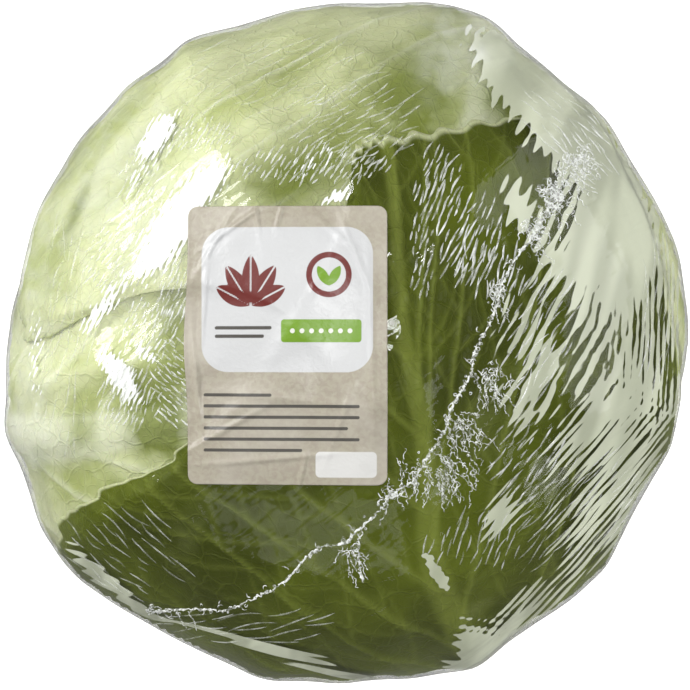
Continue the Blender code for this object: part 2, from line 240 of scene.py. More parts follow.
# Ripples of the film: plan place, half sizes of the patch, angle of the strokes, their length, how far
# apart they lie, and how strongly they show
RIPPLES = (
    (-43.4, 13, 7, 9, 66, 2.4, 1.25, 1.00),
    (-52, 4, 7, 8, 60, 2.4, 1.25, 1.00),
    (-58, -14, 8, 9, 66, 2.8, 1.4, 0.90),
    (-45, -10, 6, 12, -40, 2.4, 1.3, 0.90),
    (-43, 55, 12, 5, 60, 2.2, 1.3, 0.85),
    (-55, 42, 5, 12, 60, 2.2, 1.4, 0.80),
    (-62, 22, 8, 9, 50, 2.4, 1.4, 0.75),
    (-8, 47, 20, 5, 56, 3, 1.4, 0.85),
    (4, 58, 16, 10, 30, 5, 1.9, 0.55),
    (24, 42, 6, 10, 66, 4, 1.5, 0.90),
    (31, 28, 9, 12, 66, 4.8, 1.6, 1.00),
    (37, 20, 9, 8, 74, 5.6, 1.8, 1.00),
    (20, 24, 3, 14, 76, 3, 1.5, 0.70),
    (50, 2, 10, 16, 58, 6, 2.2, 0.75),
    (48, -30, 10, 10, 52, 5, 2.2, 0.70),
    (62, -44, 18, 16, 48, 8, 2, 0.55),
    (34, -52, 12, 8, 70, 5, 2.2, 0.70),
    (84, 6, 5, 22, 88, 10, 2, 0.55),
    (64, 52, 8, 10, -48, 5, 1.6, 0.90),
    (60, 62, 14, 10, -42, 7, 2.2, 0.45),
    (-26, -77, 24, 6, 12, 9, 2.4, 0.50),
    (-76, 0, 8, 34, 78, 9, 2.6, 0.35),
    (-20, 72, 26, 12, 30, 10, 2.6, 0.30),
    (-60, -56, 16, 12, -42, 7, 2.4, 0.45),
)
RIPPLE_HALF_WIDTH = 0.00027
RIPPLE_HEIGHT = 0.00028
RIPPLE_POINTS = 8
# How the strokes of a patch vary: their rows and places along a row, length, bend and lean
RIPPLE_ROW_SCATTER = 0.15
RIPPLE_PLACE_SCATTER = 0.24
RIPPLE_LENGTH_SPREAD = 0.28
RIPPLE_BEND = 0.10
RIPPLE_LEAN = 0.12
RIPPLE_FILLS = 0.95
RIPPLE_PATCH_EDGE = 0.25

# How far the directions rise where the patches below fade in, the milk of loose film, and how loose it is
PATCHES_FADE = (0.08, 0.34)
LOOSE_MILK = 0.15
LOOSE_LIFT = (0.0015, 0.0045)
# Where the film stands off the leaves and turns milky, and where it carries a painted reflection of the soft
# lights, as on the right and over the dark leaf's rib: plan place, half widths, turn, and strength
MILKY_AND_SHEEN_PATCHES = (
    (73, 31, 14, 21, 10, 1.05),
    (45.5, 36, 3.6, 7.5, 14, 0.85),
    (57, 22, 9, 15, 40, 0.42),
    (41, 8, 7, 12, 60, 0.34),
    (51, -7, 12, 19, -18, 0.46),
    (75, -14, 15, 24, -6, 0.60),
    (92, 0, 9, 40, 0, 0.24),
    (45, -16, 6, 16, -12, 0.22),
    (61, -26, 12, 7, 48, 0.30),
    (70, -50, 28, 16, 48, 0.54),
    (41, -46, 8, 5, 62, 0.74),
    # This one is a painted highlight over the dark leaf's rib.
    (24, -61, 6.5, 1.8, -57, 1.05),
    (33, -80, 9, 4, -62, 0.62),
    (46, -76, 16, 7, 34, 0.45),
    (56, 69, 24, 13, -44, 1.25),
    (62, 54, 10, 9, -44, 0.50),
    (41, 77, 4.5, 12, 8, 0.55),
    (-22, -83, 26, 2.4, -17, 0.95),
    (2, -93, 34, 2.6, 0, 0.62),
    (38, -87, 14, 5, 26, 0.80),
    (-58, -72, 22, 2.4, -44, 0.70),
    (-70, -64, 4, 14, 45, 0.45),
)
# Where the film catches the light in white flecks, given likewise
GLARE_PATCHES = (
    (-47.5, 28, 13, 5.5, 56, 1.12),
    (-37, 42, 10, 4, 46, 0.85),
    (-51, 56, 8, 3.4, 50, 0.95),
    (-60, -9, 9, 3.6, -58, 1.00),
    (-53, -3, 7, 2.4, -50, 0.60),
    (-63, 12, 7, 3, 50, 0.50),
    (-68, 6, 9, 2.6, 44, 0.45),
    (-56, 44, 14, 3, 56, 0.36),
    (-2, 38.6, 5, 1.8, 20, 0.85),
    (-8, 48, 14, 5, 30, 0.36),
    (-84, -4, 3, 18, 0, 0.45),
)
# Fingers of wet film between the milky parts: name, angle, length and pitch, then where each way holds
FINGERS = (
    ("steep", 62, 0.0100, 0.0031),
    ("slanted", 48, 0.0150, 0.0018),
    ("upright", 88, 0.0140, 0.0017),
    ("level", -12, 0.0300, 0.0026),
)
FINGER_PLACES = (
    ("steep", 48, 8, 24),
    ("slanted", 66, -46, 24),
    ("upright", 88, 2, 15),
    ("level", -22, -86, 32),
)
FINGER_DEPTH = 0.60
FINGER_EDGE = (0.78, 0.84)
FINGER_WAVINESS = 2.9
# Where the film only looks hazy, given likewise, and how hazy it is down the sides. The haze is partly the
# film's own and partly a painted reflection of the soft lights.
HAZE_AND_SHEEN_PATCHES = (
    (-60, 40, 30, 40, 20, 0.24),
    (-88, -8, 10, 40, 0, 0.25),
    (28, 82, 8, 16, -14, 0.30),
)
SIDE_HAZE_AND_SHEEN = 0.13
# Size of the streaks of the haze and its painted reflection across and down
HAZE_AND_SHEEN_STREAKS = (0.0050, 0.0050, 0.0600)
# Short white teeth along the edges of the glare: their angle, length, pitch and waviness
TEETH = (64.0, 0.0026, 0.0013, 0.8)

# Greener parts of the pale leaves, and painted shade on the right side of the pale leaf's rib: plan place,
# half widths, turn, and strength
GREEN_AND_SHADE_PATCHES = {
    "leaf_2": (
        (10, 74, 22, 9, 8, 0.45),
        (-15, 43, 22, 8, 14, 1.10),
        (19, 61, 12, 11, 60, 1.60),
        (-2, 58, 16, 7, 14, 0.55),
        (-33, 28, 7, 12, -30, 0.40),
        # This one is painted shade on the right side of the rib.
        (45, 69, 7, 14, -20, 1.40),
        (-73, 36, 2, 14, -20, 0.90),
        (-76, 14, 5, 3, -20, 0.60),
        (-50, 58, 20, 3, 42, 0.30),
        (-62, 16, 2, 12, -26, 0.50),
    ),
    "leaf_3": (
        (-46, 4, 4, 16, 4, 0.80),
        (-70.9, -22.8, 6, 7, 0, 0.80),
        (-50, -22, 9, 12, 30, 1.70),
        (-62, -40, 14, 6, -35, 0.60),
        (-84, -33, 3, 7, 0, 0.50),
    ),
}

# The label, as it is seen from above, in metres
LABEL_MIDDLE = (-0.0155, -0.0008)
LABEL_WIDTH = 0.0525
LABEL_LENGTH = 0.0732
LABEL_CORNER_RADIUS = 0.0026
LABEL_GAP = 0.0007
LABEL_THICKNESS = 0.0003
LABEL_GRID = (150, 208)
LABEL_SMOOTHING = 12
LABEL_DEEPEST_WRINKLE = -0.0004
# Its left side bulges: how far, where along it, and over what length
LABEL_BULGE = 0.0010
LABEL_BULGE_PLACE = 0.001
LABEL_BULGE_REACH = 0.012

# Wrinkles of the label: place from its middle, half length, half width, turn and height in millimetres
LABEL_WRINKLES = (
    (-13, 32, 9, 0.7, 35, 0.80),
    (-8, 33.5, 5, 0.6, 100, 0.75),
    (-19, 27, 8, 0.7, 60, 0.70),
    (-2, 34, 4, 0.6, 75, 0.60),
    (-22, 10, 14, 0.9, 85, 0.75),
    (-24, -8, 12, 0.8, 95, 0.90),
    (12, 30, 8, 0.8, -40, 0.50),
    (22, 0, 22, 0.9, 92, 0.50),
    (-16, -22, 12, 0.8, 30, 0.60),
    (-6, -30, 16, 0.8, 5, 0.65),
    (14, -20, 12, 0.9, 70, 0.45),
    (0, -14, 22, 1.2, -6, 0.40),
    (18, 24, 10, 0.7, -68, 0.60),
    (4, -33, 5, 0.6, 78, 0.60),
)

# The label's print in millimetres from its middle: boxes as middle, half sizes and corner radius
PANEL = (0, 12, 22.5, 19, 7)
FAN_MIDDLE = (-9.5, 10.5)
FAN_LEAVES = ((90, 13.5), (58, 12.5), (122, 12.5), (28, 10.5), (152, 10.5))
FAN_LEAF_WIDTH = 4.6
FAN_VEIN_HALF_WIDTH = 0.22
RING_MIDDLE = (11, 18.5)
RING_RADIUS = 5.2
RING_HALF_WIDTH = 0.75
SPRIG_FOOT = (11, 15.6)
SPRIG_LEAF = (6, 2.5)
BAND = (9, 3.8, 10.5, 3, 0.8)
DOTS = 7
DOT_PLACE = (1.5, 3.8)
DOT_STEP = 2.5
DOT_RADIUS = 0.65
UPPER_RULES = ((-11.5, 4.6, 7.5, 0.45, 0.3), (-12.5, 2.4, 6.5, 0.45, 0.3))
RULE_HALF_LENGTHS = (9, 20.5, 20.5, 19, 20.5, 13)
RULE_PLACE = (-22, -13)
RULE_STEP = 2.9
RULE_HALF_HEIGHT = 0.42
RULE_RADIUS = 0.3
CORNER_BOX = (15.5, -31.2, 8, 3.4, 1.2)

# Camera, floor and light. Each soft box has an azimuth, an elevation, a distance, a width, a height and the
# brightness of its surface.
CAMERA_PLACE = (-0.0003, -0.0007, 1.084)
CAMERA_VIEW_ANGLE = 11.2
CAMERA_CLIP_START = 0.01
FLOOR_HALF_SIZE = 3.0
FLOOR_GLOW = 0.72
LIGHTS = (
    ("overhead_box", 0, 90, 1.5, 0.36, 0.36, 26.0),
    ("upper_left_box", 151, 30, 1.05, 0.70, 0.24, 17.0),
    ("right_wall", 8, 24, 1.00, 1.50, 0.60, 2.5),
    ("lower_fill", 262, 38, 1.30, 0.90, 0.40, 1.6),
)
WORLD_BRIGHTNESS = 0.16

# Textures. A texture drawn out along an angle has the lengths of its features along, across and up.
WAVE_PERIOD = 2 * math.pi / 20
PALE_BANDS = (38, (0.110, 0.022, 0.040))
NET_DRIFT = (3.0, 3.0, 0.0)
NET_HEIGHT = 0.00025
SHEEN_RANGE = 0.14
DARK_VEIN_SHARES = (0.16, 0.30, 0.55)
PALE_VEIN_SHARES = (0.14, 0.35, 0.65)
FILM_STREAKS = (38, (0.016, 0.0030, 0.010))
FILM_CROSS_STREAKS = (112, (0.018, 0.0034, 0.010))
FILM_CLOUDS = (75, (0.060, 0.009, 0.030))
FILM_SWELL_HEIGHT = 0.0022
FILM_WRINKLE_HEIGHT = 0.0009
FILM_BUMP_STRENGTH = 0.40
FILM_IOR = 1.38
FILM_MOST_GLOSS = 0.55
FILM_GLOSS_ROUGHNESS = 0.07

# Colours
DEEP_GREEN = (0.050, 0.063, 0.004)
LEAF_GREEN = (0.110, 0.140, 0.009)
BLOOM_GREEN = (0.170, 0.198, 0.060)
DARK_VEIN = (0.225, 0.270, 0.048)
PALE_GREEN = (0.690, 0.730, 0.435)
MID_GREEN = (0.360, 0.420, 0.100)
FRESH_GREEN_AND_SHADE = (0.180, 0.225, 0.020)
WHITE_GREEN = (0.820, 0.850, 0.640)
WHITE = (0.93, 0.95, 0.92)
# The milk colour is also that of a painted reflection of the soft lights on the film.
MILK_AND_SHEEN = (0.62, 0.655, 0.495)
PITH = (0.74, 0.73, 0.52)
PITH_SHADE = (0.60, 0.56, 0.36)
PIT_BROWN = (0.42, 0.36, 0.22)
KRAFT = (0.395, 0.365, 0.282)
KRAFT_SHADE = (0.35, 0.31, 0.245)
KRAFT_LIGHT = (0.50, 0.465, 0.40)
FLOOR_WHITE = (0.82, 0.82, 0.82)
INKS = (
    ("panel", (0.575, 0.58, 0.58)),
    ("corner", (0.66, 0.655, 0.63)),
    ("band", (0.155, 0.300, 0.012)),
    ("dots", (0.72, 0.73, 0.66)),
    ("motif", (0.145, 0.022, 0.018)),
    ("rules", (0.075, 0.070, 0.060)),
)

random_numbers = np.random.default_rng(SEED)


# Shapes

def direction_at(azimuth, elevation):
    """The unit vector at an azimuth and an elevation in degrees."""
    turn = math.radians(azimuth)
    lean = math.radians(elevation)
    return Vector((math.cos(lean) * math.cos(turn), math.cos(lean) * math.sin(turn), math.sin(lean)))


def smooth_curve(stations, shares):
    """Points on a smooth curve through the stations, which are evenly spaced over shares 0 to 1."""
    stations = np.asarray(stations, float)
    ends = np.vstack([2 * stations[0] - stations[1], stations, 2 * stations[-1] - stations[-2]])
    place = np.clip(np.asarray(shares, float), 0, 1) * (len(stations) - 1)
    first = np.minimum(place.astype(int), len(stations) - 2)
    t = (place - first)[..., None]
    before, start, end, after = (ends[first + step] for step in range(4))
    bend = 2 * before - 5 * start + 4 * end - after
    twist = 3 * (start - end) + after - before
    return start + 0.5 * t * (end - before + t * (bend + t * twist))


def smooth_step(value, low, high):
    """0 below low, 1 above high, and smooth between them. low may be above high."""
    share = np.clip((value - low) / (high - low), 0, 1)
    return share * share * (3 - 2 * share)


def soft_noise(points, length, seed=0):
    """Smooth noise from about -1 to 1 at each point, with features of this length."""
    shift = Vector((3.1 * seed, 1.7 * seed, 5.3 * seed))
    return np.array([noise.noise(Vector(point) / length + shift) for point in points])


def blurred(values, passes):
    """A grid of values softened by its neighbours, with its border repeated."""
    for _ in range(passes):
        for axis in (0, 1):
            padded = np.pad(values, [(1, 1) if axis == a else (0, 0) for a in (0, 1)], mode="edge")
            low, middle, high = (np.take(padded, range(s, s + values.shape[axis]), axis) for s in range(3))
            values = (low + 2 * middle + high) / 4
    return values


def plain_radius(directions):
    """The smooth shape under everything: an upper and a lower half, with swellings round its girth."""
    rise = directions[..., 2]
    half_height = np.where(rise > 0, HEAD_ABOVE, HEAD_BELOW)
    sideways = (np.sqrt(np.maximum(1 - rise**2, 0)) / HEAD_HALF_WIDTH) ** HEAD_FULLNESS
    upright = (np.abs(rise) / half_height) ** HEAD_FULLNESS
    radius = (sideways + upright) ** (-1 / HEAD_FULLNESS)
    azimuth = np.degrees(np.arctan2(directions[..., 1], directions[..., 0]))
    for middle, half_width, height in SWELLINGS + OUTLINE_CORRECTIONS:
        turn = (azimuth - middle + 180) % 360 - 180
        radius = radius + height * np.exp(-((turn / half_width) ** 2)) * (1 - rise**2) ** 2
    return radius


def head_radius(directions):
    """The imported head, with the edges of its leaves as steps round it."""
    radius = plain_radius(directions) - HEAD_EDGE_STEP * HEAD_EDGE_COUNT / 2
    for edge in range(HEAD_EDGE_COUNT):
        facing = np.array(direction_at(HEAD_EDGE_AZIMUTH + SPIRAL_STEP * edge, HEAD_EDGE_LEAN))
        away = np.degrees(np.arccos(np.clip(directions @ facing, -1, 1)))
        past = (away - HEAD_EDGE_REACH + HEAD_EDGE_SHORTER * edge) / HEAD_EDGE_SOFTNESS
        radius = radius + HEAD_EDGE_STEP / (1 + np.exp(past))
    return radius


def patchwork(patches, x, y):
    """The sum of soft oval patches at plan places in millimetres."""
    total = np.zeros_like(x)
    for middle_x, middle_y, half_along, half_across, turn, strength in patches:
        turn = math.radians(turn)
        along = (x - middle_x) * math.cos(turn) + (y - middle_y) * math.sin(turn)
        across = -(x - middle_x) * math.sin(turn) + (y - middle_y) * math.cos(turn)
        total += strength * np.exp(-((along / half_along) ** 2) - (across / half_across) ** 2)
    return total


def round_directions(columns, tilts):
    """Directions on a grid of columns round the head and the given tilts up from straight down."""
    turns = np.linspace(0, 2 * math.pi, columns, endpoint=False)[:, None]
    tilts = np.asarray(tilts)[None, :]
    x = np.sin(tilts) * np.cos(turns)
    y = np.sin(tilts) * np.sin(turns)
    return np.stack([x, y, -np.cos(tilts) * np.ones_like(turns)], axis=-1)


def grid_quads(columns, rows, closed=False):
    """Quads over a grid of columns by rows vertices, whose last column may join its first."""
    index = np.arange(columns * rows).reshape(columns, rows)
    after = np.roll(index, -1, axis=0)
    if not closed:
        index, after = index[:-1], after[:-1]
    quads = np.stack([index[:, :-1], after[:, :-1], after[:, 1:], index[:, 1:]], axis=-1)
    return quads.reshape(-1, 4)


def make_piece(name, places, faces, material, replaces=None, values=None):
    """A smooth-shaded piece that rides on the root. values holds the numbers that its material reads."""
    mesh = bpy.data.meshes.new(name)
    mesh.from_pydata([tuple(place) for place in places], [], [tuple(face) for face in faces])
    for key, numbers in (values or {}).items():
        layer = mesh.attributes.new(key, "FLOAT" if numbers.ndim == 1 else "FLOAT_VECTOR", "POINT")
        layer.data.foreach_set("value" if numbers.ndim == 1 else "vector", numbers.astype("f").ravel())
    mesh.shade_smooth()
    mesh.materials.append(material)
    piece = bpy.data.objects.new(name, mesh)
    bpy.context.scene.collection.objects.link(piece)
    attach(piece, "root")
    if replaces:
        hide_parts(replaces)


def surface_tree(surfaces):
    """One search tree over several surfaces, each given as its places and faces."""
    places = []
    faces = []
    for surface_places, surface_faces in surfaces:
        faces.extend((np.asarray(surface_faces) + len(places)).tolist())
        places.extend(surface_places.tolist())
    return BVHTree.FromPolygons(places, faces)


def outer_radius(tree, directions, otherwise):
    """How far out the outermost surface lies in each direction, or otherwise where there is none."""
    flat = directions.reshape(-1, 3)
    found = np.array(otherwise, float).reshape(-1).copy()
    for index, direction in enumerate(flat):
        direction = Vector(direction)
        distance = tree.ray_cast(MIDDLE + direction * FAR, -direction)[3]
        if distance is not None:
            found[index] = FAR - distance
    return found.reshape(directions.shape[:-1])


def drape(heights, positions, slope, reach):
    """Heights raised so that a sheet over them falls away from each high place no faster than slope."""
    step = np.linalg.norm(positions[1:-1, 1:-1] - positions[:-2, 1:-1], axis=-1).mean()
    draped = heights.copy()
    for _ in range(int(reach / step)):
        for axis in (0, 1):
            for way in (1, -1):
                near = np.roll(draped, way, axis)
                apart = np.linalg.norm(np.roll(positions, way, axis) - positions, axis=-1)
                border = [slice(None), slice(None)]
                border[axis] = 0 if way == 1 else -1
                near[tuple(border)] = -1
                draped = np.maximum(draped, near - slope * apart)
    return draped


def leaf_directions(azimuth, flat):
    """Directions for flat places on a leaf, in degrees across and along from its middle."""
    out = np.array(direction_at(azimuth, LEAF_MIDDLE_ELEVATION))
    up = np.array(direction_at(azimuth, LEAF_MIDDLE_ELEVATION + 90))
    right = np.array(direction_at(azimuth + 90, 0))
    distance = np.hypot(flat[..., 0], flat[..., 1])[..., None]
    reach = np.radians(distance)
    way = flat / np.maximum(distance, 1e-6)
    sideways = way[..., :1] * right + way[..., 1:] * up
    return np.cos(reach) * out + np.sin(reach) * sideways


def leaf_flat(stations, across, along, number):
    """Flat places on a leaf. across runs from -1 over 0 at its rib to 1, and along from 0 to 1."""
    _, left, rib, right = stations
    spine = smooth_curve(rib, along)
    edge = np.where(across[..., None] < 0, smooth_curve(left, along), smooth_curve(right, along))
    flat = spine + np.abs(across)[..., None] * (edge - spine)
    wave = EDGE_WAVE * np.sin(2 * math.pi * EDGE_WAVES * along + EDGE_WAVE_SHIFT * number)
    ragged = 0
    for waves in RAGGED_WAVES:
        finer = waves / RAGGED_WAVES[0]
        phase = 2 * math.pi * waves * along + 2.1 * finer * number
        ragged = ragged + EDGE_RAGGEDNESS / finer * np.sin(phase)
    flat[..., 0] += np.sign(across) * (wave * across**4 + ragged * across**20)
    flat[..., 1] += TIP_BOW * 4 * np.abs(across) * (1 - np.abs(across)) * along**4
    flat[..., 1] += EDGE_RAGGEDNESS * np.sin(TIP_RAGGEDNESS_PITCH * across + number) * along**40
    return flat


def grow_vein(start, heading, turn, reach):
    """Flat places along a vein that leaves start at a heading in degrees from the tip's way."""
    steps = np.arange(0, reach, VEIN_STEP)
    headings = np.radians(heading + turn * steps)
    moves = np.stack([np.sin(headings), np.cos(headings)], axis=-1) * VEIN_STEP
    return start + np.cumsum(moves, axis=0)


def leaf_veins(stations):
    """The side veins and their twigs, each as flat places with a half width."""
    side_veins = []
    twigs = []
    for side in (-1, 1):
        for number in range(SIDE_VEINS):
            share = SIDE_VEINS_FROM + SIDE_VEINS_OVER * (number + 0.5 * (side > 0)) / SIDE_VEINS
            start = smooth_curve(stations[2], share)
            heading = side * (SIDE_VEIN_LEAVES_AT + random_numbers.uniform(-4, 6))
            turn = side * SIDE_VEIN_TURN * random_numbers.uniform(0.7, 1.3)
            reach = SIDE_VEIN_REACH * random_numbers.uniform(0.8, 1.1)
            vein = grow_vein(start, heading, turn, reach)
            widths = np.linspace(*SIDE_VEIN_WIDTHS, len(vein))
            side_veins.append(np.column_stack([vein, widths]))
            spacing = int(TWIG_SPACING / VEIN_STEP)
            for place in range(spacing, len(vein) - spacing, spacing):
                way = 1 if (place // spacing) % 2 else -1
                leaving = heading + turn * place * VEIN_STEP + way * TWIG_LEAVES_AT
                reach = TWIG_REACH * random_numbers.uniform(0.6, 1.2)
                twig = grow_vein(vein[place], leaving, -way * random_numbers.uniform(0.2, 1.6), reach)
                twigs.append(np.column_stack([twig, np.linspace(*TWIG_WIDTHS, len(twig))]))
    return np.vstack(side_veins), np.vstack(twigs)


def nearness(veins, flat):
    """1 on a vein and falling to 0 beside it, at each flat place."""
    tree = KDTree(len(veins))
    for index, (across, along, _) in enumerate(veins):
        tree.insert((across, along, 0), index)
    tree.balance()
    near = np.empty(flat.shape[:-1])
    for index in np.ndindex(near.shape):
        _, nearest, distance = tree.find((*flat[index], 0))
        near[index] = math.exp(-((distance / veins[nearest, 2]) ** 2))
    return near


def rib_thickness(flat, spine, along):
    """How far the rib stands out of the blade, and how near each place is to it."""
    reach = np.radians(np.hypot(flat[..., 0], flat[..., 1]))
    across = np.radians(flat[..., 0] - spine[..., 0]) * np.sinc(reach / math.pi) * HEAD_HALF_WIDTH
    height = RIB_HEIGHT_AT_BASE + (RIB_HEIGHT_AT_TIP - RIB_HEIGHT_AT_BASE) * along
    half_width = RIB_HALF_WIDTH_AT_BASE + (RIB_HALF_WIDTH_AT_TIP - RIB_HALF_WIDTH_AT_BASE) * along
    near = np.exp(-((across / half_width) ** 2))
    return height * near, near


def leaf_shell(outer, inner, columns, rows):
    """The leaf's outer face, its edge, and its inner face as far in as it can be seen."""
    quads = grid_quads(columns, rows)
    index = np.arange(columns * rows).reshape(columns, rows)
    loop = np.concatenate([index[:, 0], index[-1, 1:], index[-2::-1, -1], index[0, -2:0:-1]])
    after = np.roll(loop, -1)
    total = columns * rows
    edge = np.stack([loop, loop + total, after + total, after], axis=-1)
    column, row = np.divmod(quads[:, 0], rows)
    rim = (np.minimum(column, columns - 2 - column) < LEAF_RIM_CELLS) | (
        np.minimum(row, rows - 2 - row) < LEAF_RIM_CELLS
    )
    faces = np.vstack([quads, edge, quads[rim][:, ::-1] + total])
    used, faces = np.unique(faces, return_inverse=True)
    places = np.vstack([outer.reshape(-1, 3), inner.reshape(-1, 3)])
    return places[used], faces.reshape(-1, 4), used % total


def build_leaf(name, surfaces, material):
    """A wrapper leaf draped over what is under it, with its rib, veins and puckers in its outer face."""
    stations = LEAF_STATIONS[name]
    number = int(name[-1])
    columns, rows = LEAF_GRIDS.get(name, INNER_LEAF_GRID)
    side = np.linspace(-1, 1, columns)
    length = np.linspace(0, 1, rows) ** ROWS_TOWARDS_TIP
    across, along = np.meshgrid(side, length, indexing="ij")
    flat = leaf_flat(stations, across, along, number)
    directions = leaf_directions(stations[0], flat)
    plain = plain_radius(directions)
    below = outer_radius(surface_tree(surfaces), directions, plain - HEAD_EDGE_STEP)
    draped = drape(below - plain, directions * HEAD_HALF_WIDTH, LEAF_SLOPE, LEAF_DRAPE_REACH)
    looseness = 1 - LEAF_CLOSER_ON_CROWN * np.clip(directions[..., 2], 0, 1) ** 2
    from_edge = np.minimum((1 - np.abs(across)) * DEGREES_TO_SIDE, (1 - along) * DEGREES_TO_TIP)
    inland = smooth_step(from_edge, 0, DEGREES_OF_EDGE)
    gap = LEAF_GAP * looseness * (LEAF_GAP_AT_EDGE + (1 - LEAF_GAP_AT_EDGE) * inland)
    sheet = plain + np.maximum(blurred(draped, DRAPE_SMOOTHING), below - plain) + gap

    side_veins, twigs = leaf_veins(stations)
    near_side_vein = nearness(side_veins, flat)
    near_twig = nearness(twigs, flat)
    rib, near_rib = rib_thickness(flat, smooth_curve(stations[2], along), along)
    spots = (directions * HEAD_HALF_WIDTH).reshape(-1, 3)
    pucker = soft_noise(spots, PUCKER_LENGTH, number).reshape(across.shape)
    relief = SIDE_VEIN_HEIGHT * near_side_vein * (1 - near_rib) + TWIG_HEIGHT * near_twig
    relief = (relief + PUCKER_HEIGHT * pucker) * inland
    middle = np.array(MIDDLE)
    inner = middle + directions * sheet[..., None]
    height = sheet + LEAF_THICKNESS + LEAF_LIFT * looseness * inland + rib + relief
    outer = middle + directions * height[..., None]
    places, faces, source = leaf_shell(outer, inner, columns, rows)
    values = {
        "rib": near_rib.ravel()[source],
        "vein": near_side_vein.ravel()[source],
        "twig": near_twig.ravel()[source],
        "from_edge": from_edge.ravel()[source],
        "along": along.ravel()[source],
        "flat": np.dstack([flat, np.zeros_like(along)]).reshape(-1, 3)[source],
        "greener_and_shaded": patchwork(GREEN_AND_SHADE_PATCHES.get(name, ()), *(places[:, :2] / MM).T),
    }
    make_piece(f"{name}_blade", places, faces, material, name, values)
    surfaces.append((outer.reshape(-1, 3), grid_quads(columns, rows)))


def build_head(surfaces, material):
    """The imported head."""
    columns, rows = HEAD_GRID
    directions = round_directions(columns, np.linspace(HEAD_POLE_GAP, math.pi - HEAD_POLE_GAP, rows))
    places = (np.array(MIDDLE) + directions * head_radius(directions)[..., None]).reshape(-1, 3)
    faces = grid_quads(columns, rows, closed=True)
    make_piece("packed_head", places, faces, material, "head")
    surfaces.append((places, faces))


def build_stem():
    """The cut stump, with a rounded rim and a slightly hollow cut face."""
    low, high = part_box("stem")
    radius = (high[0] - low[0]) / 2
    height = high[2] - low[2]
    middle = np.array([(low[0] + high[0]) / 2, (low[1] + high[1]) / 2, 0])
    share = np.linspace(0, 1, STEM_RINGS)
    on_face = share < STEM_FACE_SHARE
    out = share / STEM_FACE_SHARE
    up = (share - STEM_FACE_SHARE) / (1 - STEM_FACE_SHARE)
    outward = radius * np.where(on_face, STEM_FACE_RADIUS * out, 1 - STEM_TAPER * up)
    rise = low[2] + np.where(on_face, STEM_HOLLOW * (1 - out), height * up)
    turns = np.linspace(0, 2 * math.pi, STEM_SIDES, endpoint=False)
    ridged = 1 + 0.03 * np.sin(5 * turns + 0.6) + 0.015 * np.sin(13 * turns)
    ridged = 1 + (ridged - 1)[:, None] * share[None, :]
    wide = np.minimum(outward[None, :] * ridged, radius)
    x = wide * np.cos(turns)[:, None]
    y = wide * np.sin(turns)[:, None]
    places = np.stack([x, y, np.broadcast_to(rise, wide.shape)], -1)
    faces = grid_quads(STEM_SIDES, STEM_RINGS, closed=True)[:, ::-1]
    make_piece("cut_stump", (places + middle).reshape(-1, 3), faces, stump_material(), "stem")


def film_hull(radius, directions):
    """The tight convex skin round the leaves, as a search tree."""
    spots = np.array(MIDDLE) + (directions * radius[..., None])[::HULL_STEP, ::HULL_STEP].reshape(-1, 3)
    bm = bmesh.new()
    for spot in spots:
        bm.verts.new(spot)
    hull = bmesh.ops.convex_hull(bm, input=bm.verts[:], use_existing_faces=False)
    hidden = hull["geom_interior"] + hull["geom_unused"]
    inside = {item for item in hidden if isinstance(item, bmesh.types.BMVert)}
    bmesh.ops.delete(bm, geom=list(inside), context="VERTS")
    tree = BVHTree.FromBMesh(bm)
    bm.free()
    return tree


